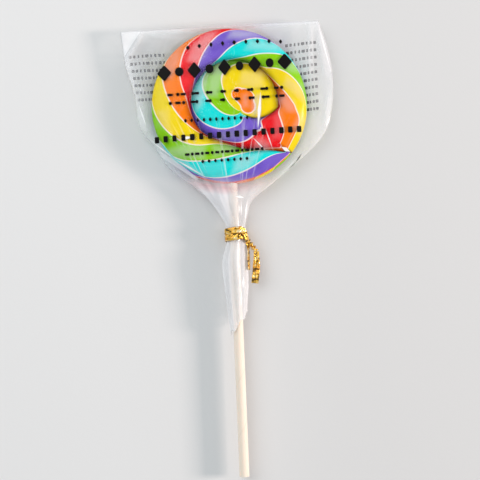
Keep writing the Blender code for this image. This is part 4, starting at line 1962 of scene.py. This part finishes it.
@dataclass(frozen=True)
class Tie:
    """Gold foil ribbon: two wraps round the neck, a twist and two loose ends."""

    width: float = 2.6 * MM
    thickness: float = 0.16 * MM
    centre_height: float = MIDDLE_HEIGHT
    band_x: float = 0.6 * MM
    band_half_width: float = 4.4 * MM
    band_half_height: float = 4.0 * MM
    band_upper_y: float = -49.5 * MM
    wrap_pitch: float = 2.6 * MM
    wrap_start: float = -4.0
    wrap_end: float = 696.0
    lead_growth: float = 0.13
    lead_in: float = 70.0
    lead_out: float = 600.0
    lead_drop: float = 4.6 * MM
    twist_start: Point = (5.4 * MM, -54.7 * MM, 4.2 * MM)
    twist_end: Point = (8.5 * MM, -58.9 * MM, 5.4 * MM)
    twist_turns: float = 1.5
    twist_width: float = 2.3 * MM
    twist_thickness: float = 0.9 * MM
    tail_width: float = 2.9 * MM
    long_tail_end: Point = (7.4 * MM, -71.9 * MM, 5.6 * MM)
    long_tail_bow: float = 0.3 * MM
    short_tail_start: Point = (5.4 * MM, -55.2 * MM, 5.0 * MM)
    short_tail_end: Point = (5.3 * MM, -66.4 * MM, 5.6 * MM)
    across: int = 12
    wrap_steps: int = 240
    wrap_thickness: float = 0.4 * MM
    wrap_crinkle: float = 0.1 * MM
    wrap_pressed: float = 0.15
    twist_steps: int = 60
    twist_crinkle: float = 0.06 * MM
    tail_steps: int = 70
    tail_crinkle: float = 0.14 * MM
    tail_wave: float = 0.12 * MM
    fold_half: float = 0.14
    dent_half: float = 0.3

    def make(self, surface: bpy.types.Material) -> bpy.types.Object:
        """Build the ribbon.

        Args:
            surface: The foil finish.

        Returns:
            The finished piece.
        """
        long_tail = self.tail(
            self.twist_end, self.long_tail_end, self.long_tail_bow, (0.3, 0.0, 1.0), (0.0, 0.0, 1.0),
        )
        short_tail = self.tail(
            self.short_tail_start, self.short_tail_end, 0.0, (0.5, 0.0, 1.0), (1.0, 0.0, 0.34),
        )
        shape = bmesh.new()
        # How near the middle fold each vertex is, for the painted shade along the fold
        layer = shape.verts.layers.float.new("fold")
        for strip in (self.wrap(), self.twist(), long_tail, short_tail):
            self.sweep(shape, layer, strip)
        bmesh.ops.recalc_face_normals(shape, faces=shape.faces)
        piece = link_object("gold_ribbon", finish_mesh("ribbon", shape, surface))
        settle(piece, ["tie"])
        return piece

    def sweep(self, shape: bmesh.types.BMesh, layer: Any, strip: Strip) -> None:
        """Draw the ribbon's section along a path with closed ends.

        Args:
            shape: The shape that it joins.
            layer: Keeps how near the middle fold each vertex is, for the painted shade along it.
            strip: The length of ribbon.
        """
        rings = [self.ring(shape, layer, strip, index) for index in range(len(strip.centres))]
        for first, second in zip(rings, rings[1:]):
            join_rings(shape, first, second)
        count = 2 * self.across
        for ring in (rings[0], rings[-1]):
            shape.faces.new((ring[0], ring[1], ring[count - 1]))
            shape.faces.new((ring[self.across - 1], ring[self.across], ring[self.across + 1]))
            for index in range(1, self.across - 1):
                shape.faces.new((ring[index], ring[index + 1], ring[count - index - 1], ring[count - index]))

    def ring(
        self, shape: bmesh.types.BMesh, layer: Any, strip: Strip, index: int,
    ) -> list[bmesh.types.BMVert]:
        """Draw the ribbon's section once.

        Args:
            shape: The shape that it joins.
            layer: Keeps how near the middle fold each vertex is, for the painted shade along it.
            strip: The length of ribbon.
            index: Place along its path.

        Returns:
            The section's points in their order round it.
        """
        centre = strip.centres[index]
        before = strip.centres[max(0, index - 1)]
        after = strip.centres[min(len(strip.centres) - 1, index + 1)]
        along = (after - before).normalized()
        side = along.cross(strip.facings[index]).normalized()
        up = side.cross(along).normalized()
        ring = []
        for step in range(2 * self.across):
            face = 1.0 if step < self.across else -1.0
            share = (1.0 - 2.0 * (step % self.across) / self.across) * face
            edge = math.sqrt(max(0.0, 1.0 - abs(share) ** 6))
            ripple = math.sin(index * 0.9 + share * 4.0) * math.sin(index * 0.37 + share * 2.2)
            dent = -0.9 * strip.pressed * max(0.0, 1.0 - abs(share) / self.dent_half)
            lift = face * edge * strip.thickness / 2.0
            lift += strip.crinkle * (ripple + dent) * (0.3 + 0.7 * edge)
            vertex = shape.verts.new(centre + side * (share * strip.widths[index] / 2.0) + up * lift)
            vertex[layer] = strip.pressed * max(0.0, 1.0 - abs(share) / self.fold_half)
            ring.append(vertex)
        return ring

    def wrap(self) -> Strip:
        """Two turns round the neck, with both ends led out to the twist."""
        centres = []
        facings = []
        for step in range(self.wrap_steps + 1):
            turn = mix(self.wrap_start, self.wrap_end, step / self.wrap_steps)
            angle = math.radians(turn)
            leading = 1.0 - smooth((turn - self.wrap_start) / (self.lead_in - self.wrap_start))
            leaving = smooth((turn - self.lead_out) / (self.wrap_end - self.lead_out))
            size = 1.0 + self.lead_growth * max(smooth(2.5 * leading), leaving)
            y = self.band_upper_y - self.wrap_pitch * turn / FULL_TURN
            centres.append(Vector((
                self.band_x + self.band_half_width * size * math.cos(angle),
                y - self.lead_drop * smooth(1.4 * leading),
                self.centre_height + self.band_half_height * size * math.sin(angle),
            )))
            facings.append(Vector((
                self.band_half_height * math.cos(angle), 0.0, self.band_half_width * math.sin(angle))))
        widths = [self.width] * len(centres)
        return Strip(centres, facings, widths, self.wrap_thickness, self.wrap_crinkle, self.wrap_pressed)

    def twist(self) -> Strip:
        """The two ends wound round each other."""
        start = Vector(self.twist_start)
        end = Vector(self.twist_end)
        along = (end - start).normalized()
        side = along.cross(Vector((0.0, 0.0, 1.0))).normalized()
        up = side.cross(along)
        centres = []
        facings = []
        for step in range(self.twist_steps + 1):
            share = step / self.twist_steps
            angle = math.tau * self.twist_turns * share
            centres.append(start.lerp(end, share))
            facings.append(up * math.cos(angle) + side * math.sin(angle))
        widths = [self.twist_width] * len(centres)
        return Strip(centres, facings, widths, self.twist_thickness, self.twist_crinkle, 0.0)

    def tail(self, start: Point, end: Point, bow: float, first: Point, last: Point) -> Strip:
        """A loose end that leaves the twist and turns to its own facing.

        Args:
            start: Where it leaves.
            end: Where it is cut.
            bow: How far its middle stands to the right.
            first: Facing where it leaves.
            last: Facing along the rest.

        Returns:
            The length of ribbon.
        """
        centres = []
        facings = []
        widths = []
        for step in range(self.tail_steps + 1):
            share = step / self.tail_steps
            place = Vector(start).lerp(Vector(end), share)
            place.x += bow * math.sin(math.pi * share)
            place.z += self.tail_wave * math.sin(9.0 * share)
            centres.append(place)
            turn = smooth(share / 0.3)
            sway = 0.25 * math.sin(7.0 * share)
            facings.append(Vector(first).lerp(Vector(last), turn) + Vector((sway * last[2], 0.0, 0.0)))
            widths.append(mix(self.twist_width, self.tail_width, smooth(2.0 * share)))
        return Strip(centres, facings, widths, self.thickness, self.tail_crinkle, 1.0)


@dataclass(frozen=True)
class Lamp:
    """One soft rectangular light."""

    name: str
    place: Point
    aim: Point
    width: float
    depth: float
    power: float
    colour: tuple[float, float, float]

    def make(self) -> None:
        """Hang the light and turn it to its aim."""
        data = bpy.data.lights.new(self.name, "AREA")
        data.shape = "RECTANGLE"
        data.size = self.width
        data.size_y = self.depth
        data.energy = self.power
        data.color = self.colour
        lamp = bpy.data.objects.new(self.name, data)
        bpy.context.scene.collection.objects.link(lamp)
        lamp.location = self.place
        lamp.rotation_euler = (Vector(self.aim) - Vector(self.place)).to_track_quat("-Z", "Y").to_euler()
        lamp.visible_camera = False


@dataclass(frozen=True)
class Studio:
    """Pale ground, soft lights and the camera that looks straight down."""

    ground_half: float = 2.0
    ground_gap: float = 0.03 * MM
    aim_x: float = 2.1 * MM
    aim_y: float = -54.2 * MM
    roll: float = math.radians(-2.35)
    field: float = 194.4 * MM
    lens: float = 85.0
    sensor: float = 36.0
    focus_height: float = MIDDLE_HEIGHT
    sky: Colour = (0.448, 0.477, 0.491, 1.0)

    def make(self) -> None:
        """Build the ground, the lights and the camera."""
        self.lay_ground()
        Lamp(
            "low_key", place=(1.13, -0.10, 0.42), aim=(0.0, -20.0 * MM, 0.0), width=0.20, depth=0.20,
            power=12.5, colour=(1.0, 0.86, 0.80),
        ).make()
        Lamp(
            "window", place=(-1.0, 0.85, 1.1), aim=(-1.0, 0.85, 0.0), width=1.8, depth=1.6,
            power=21.0, colour=(0.97, 0.99, 1.0),
        ).make()
        self.hang_sky()
        self.place_camera()

    def lay_ground(self) -> None:
        """Lay the ground under the lollipop."""
        shape = bmesh.new()
        bmesh.ops.create_grid(shape, x_segments=8, y_segments=8, size=self.ground_half)
        bmesh.ops.translate(shape, verts=shape.verts, vec=(0.0, 0.0, -self.ground_gap))
        ground = link_object("ground", finish_mesh("ground", shape, FloorFinish().make()))

    def hang_sky(self) -> None:
        """Fill the room with even light."""
        world = bpy.data.worlds.new("room_light")
        world.use_nodes = True
        world.node_tree.nodes["Background"].inputs["Color"].default_value = self.sky
        bpy.context.scene.world = world

    def place_camera(self) -> None:
        """Look straight down, turned so that the stick leans as seen."""
        data = bpy.data.cameras.new("camera")
        data.lens = self.lens
        data.sensor_width = self.sensor
        data.clip_start = 0.01
        data.clip_end = 10.0
        camera = bpy.data.objects.new("camera", data)
        bpy.context.scene.collection.objects.link(camera)
        distance = self.field * self.lens / self.sensor
        camera.location = (self.aim_x, self.aim_y, self.focus_height + distance)
        camera.rotation_euler = (0.0, 0.0, self.roll)
        bpy.context.scene.camera = camera
        bpy.context.scene.view_settings.view_transform = "Standard"


FRONT_PRINT = Print("front_print", (
    PrintRow((-18.0, 23.4), (24.0, 24.8), 0.9, 9, Mark.DIAMOND, 1.7, 2.1, 5),
    PrintRow((-31.6, 13.5), (29.0, 16.9), 0.0, 5, Mark.DIAMOND, 6.2, 6.8, 11),
    PrintRow((-25.5, 13.8), (22.9, 16.6), 0.0, 4, Mark.DOT, 3.6, 3.6, 9),
    PrintRow((-26.2, 4.9), (21.8, 6.2), 0.0, 9, Mark.BLOCK, 2.3, 1.0, 5),
    PrintRow((-23.4, 5.0), (24.2, 6.3), 0.0, 8, Mark.DOT, 1.4, 1.4, 5),
    PrintRow((-26.2, 1.5), (21.8, 2.9), 0.0, 9, Mark.DOT, 1.4, 1.4, 5),
    PrintRow((-23.4, 1.6), (24.2, 3.0), 0.0, 8, Mark.BLOCK, 2.3, 1.0, 5),
    PrintRow((-19.0, -5.6), (8.2, -5.2), 0.0, 11, Mark.DIAMOND, 1.4, 1.9, 5),
    PrintRow((-31.4, -12.8), (29.4, -10.6), 0.0, 17, Mark.BLOCK, 1.9, 2.5, 6),
    PrintRow((-19.6, -19.2), (12.5, -18.0), 0.0, 8, Mark.BLOCK, 1.9, 1.0, 4),
    PrintRow((-17.6, -19.1), (14.5, -17.9), 0.0, 8, Mark.DOT, 1.2, 1.3, 5),
    PrintRow((-12.8, -22.2), (7.5, -21.6), 0.0, 8, Mark.DIAMOND, 1.5, 1.7, 5),
), True)


def back_rows() -> tuple[PrintRow, ...]:
    """Rows of small dashes in the margins of the lower film."""
    dash = (0.0, 9, Mark.BLOCK, 1.35, 1.2, 3)
    short = (0.0, 8, Mark.BLOCK, 1.35, 1.2, 3)
    rows = []
    for step in range(7):
        y = 21.6 - 2.9 * step
        rows.append(PrintRow((-40.2 + 0.5 * step, y), (-25.0, y + 0.7), *dash))
    for step in range(10):
        y = 24.0 - 2.95 * step
        rows.append(PrintRow((23.5 + 0.3 * step, y), (36.4, y + 0.6), *short))
    return tuple(rows)


def main() -> None:
    """Build every piece in order, then the studio."""
    logging.basicConfig(level=logging.INFO, format="%(name)s %(message)s")
    Candy().make(SugarFinish().make())
    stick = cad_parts["stick"]
    stick.data.materials.clear()
    stick.data.materials.append(PaperFinish().make())
    LOG.info("stick: keeps its solid")
    film = Bag().make(FilmFinish().make())
    ink = InkFinish("print_ink", tint("0C0A0A"), tint("2A2422"))
    FRONT_PRINT.make(film, ink.make())
    faint_ink = InkFinish("back_ink", tint("3A3A3C"), tint("6A6A6C"))
    Print("back_print", back_rows(), False, 0.45).make(film, faint_ink.make())
    Tie().make(FoilFinish().make())
    Studio().make()


if __name__ == "__main__":
    main()
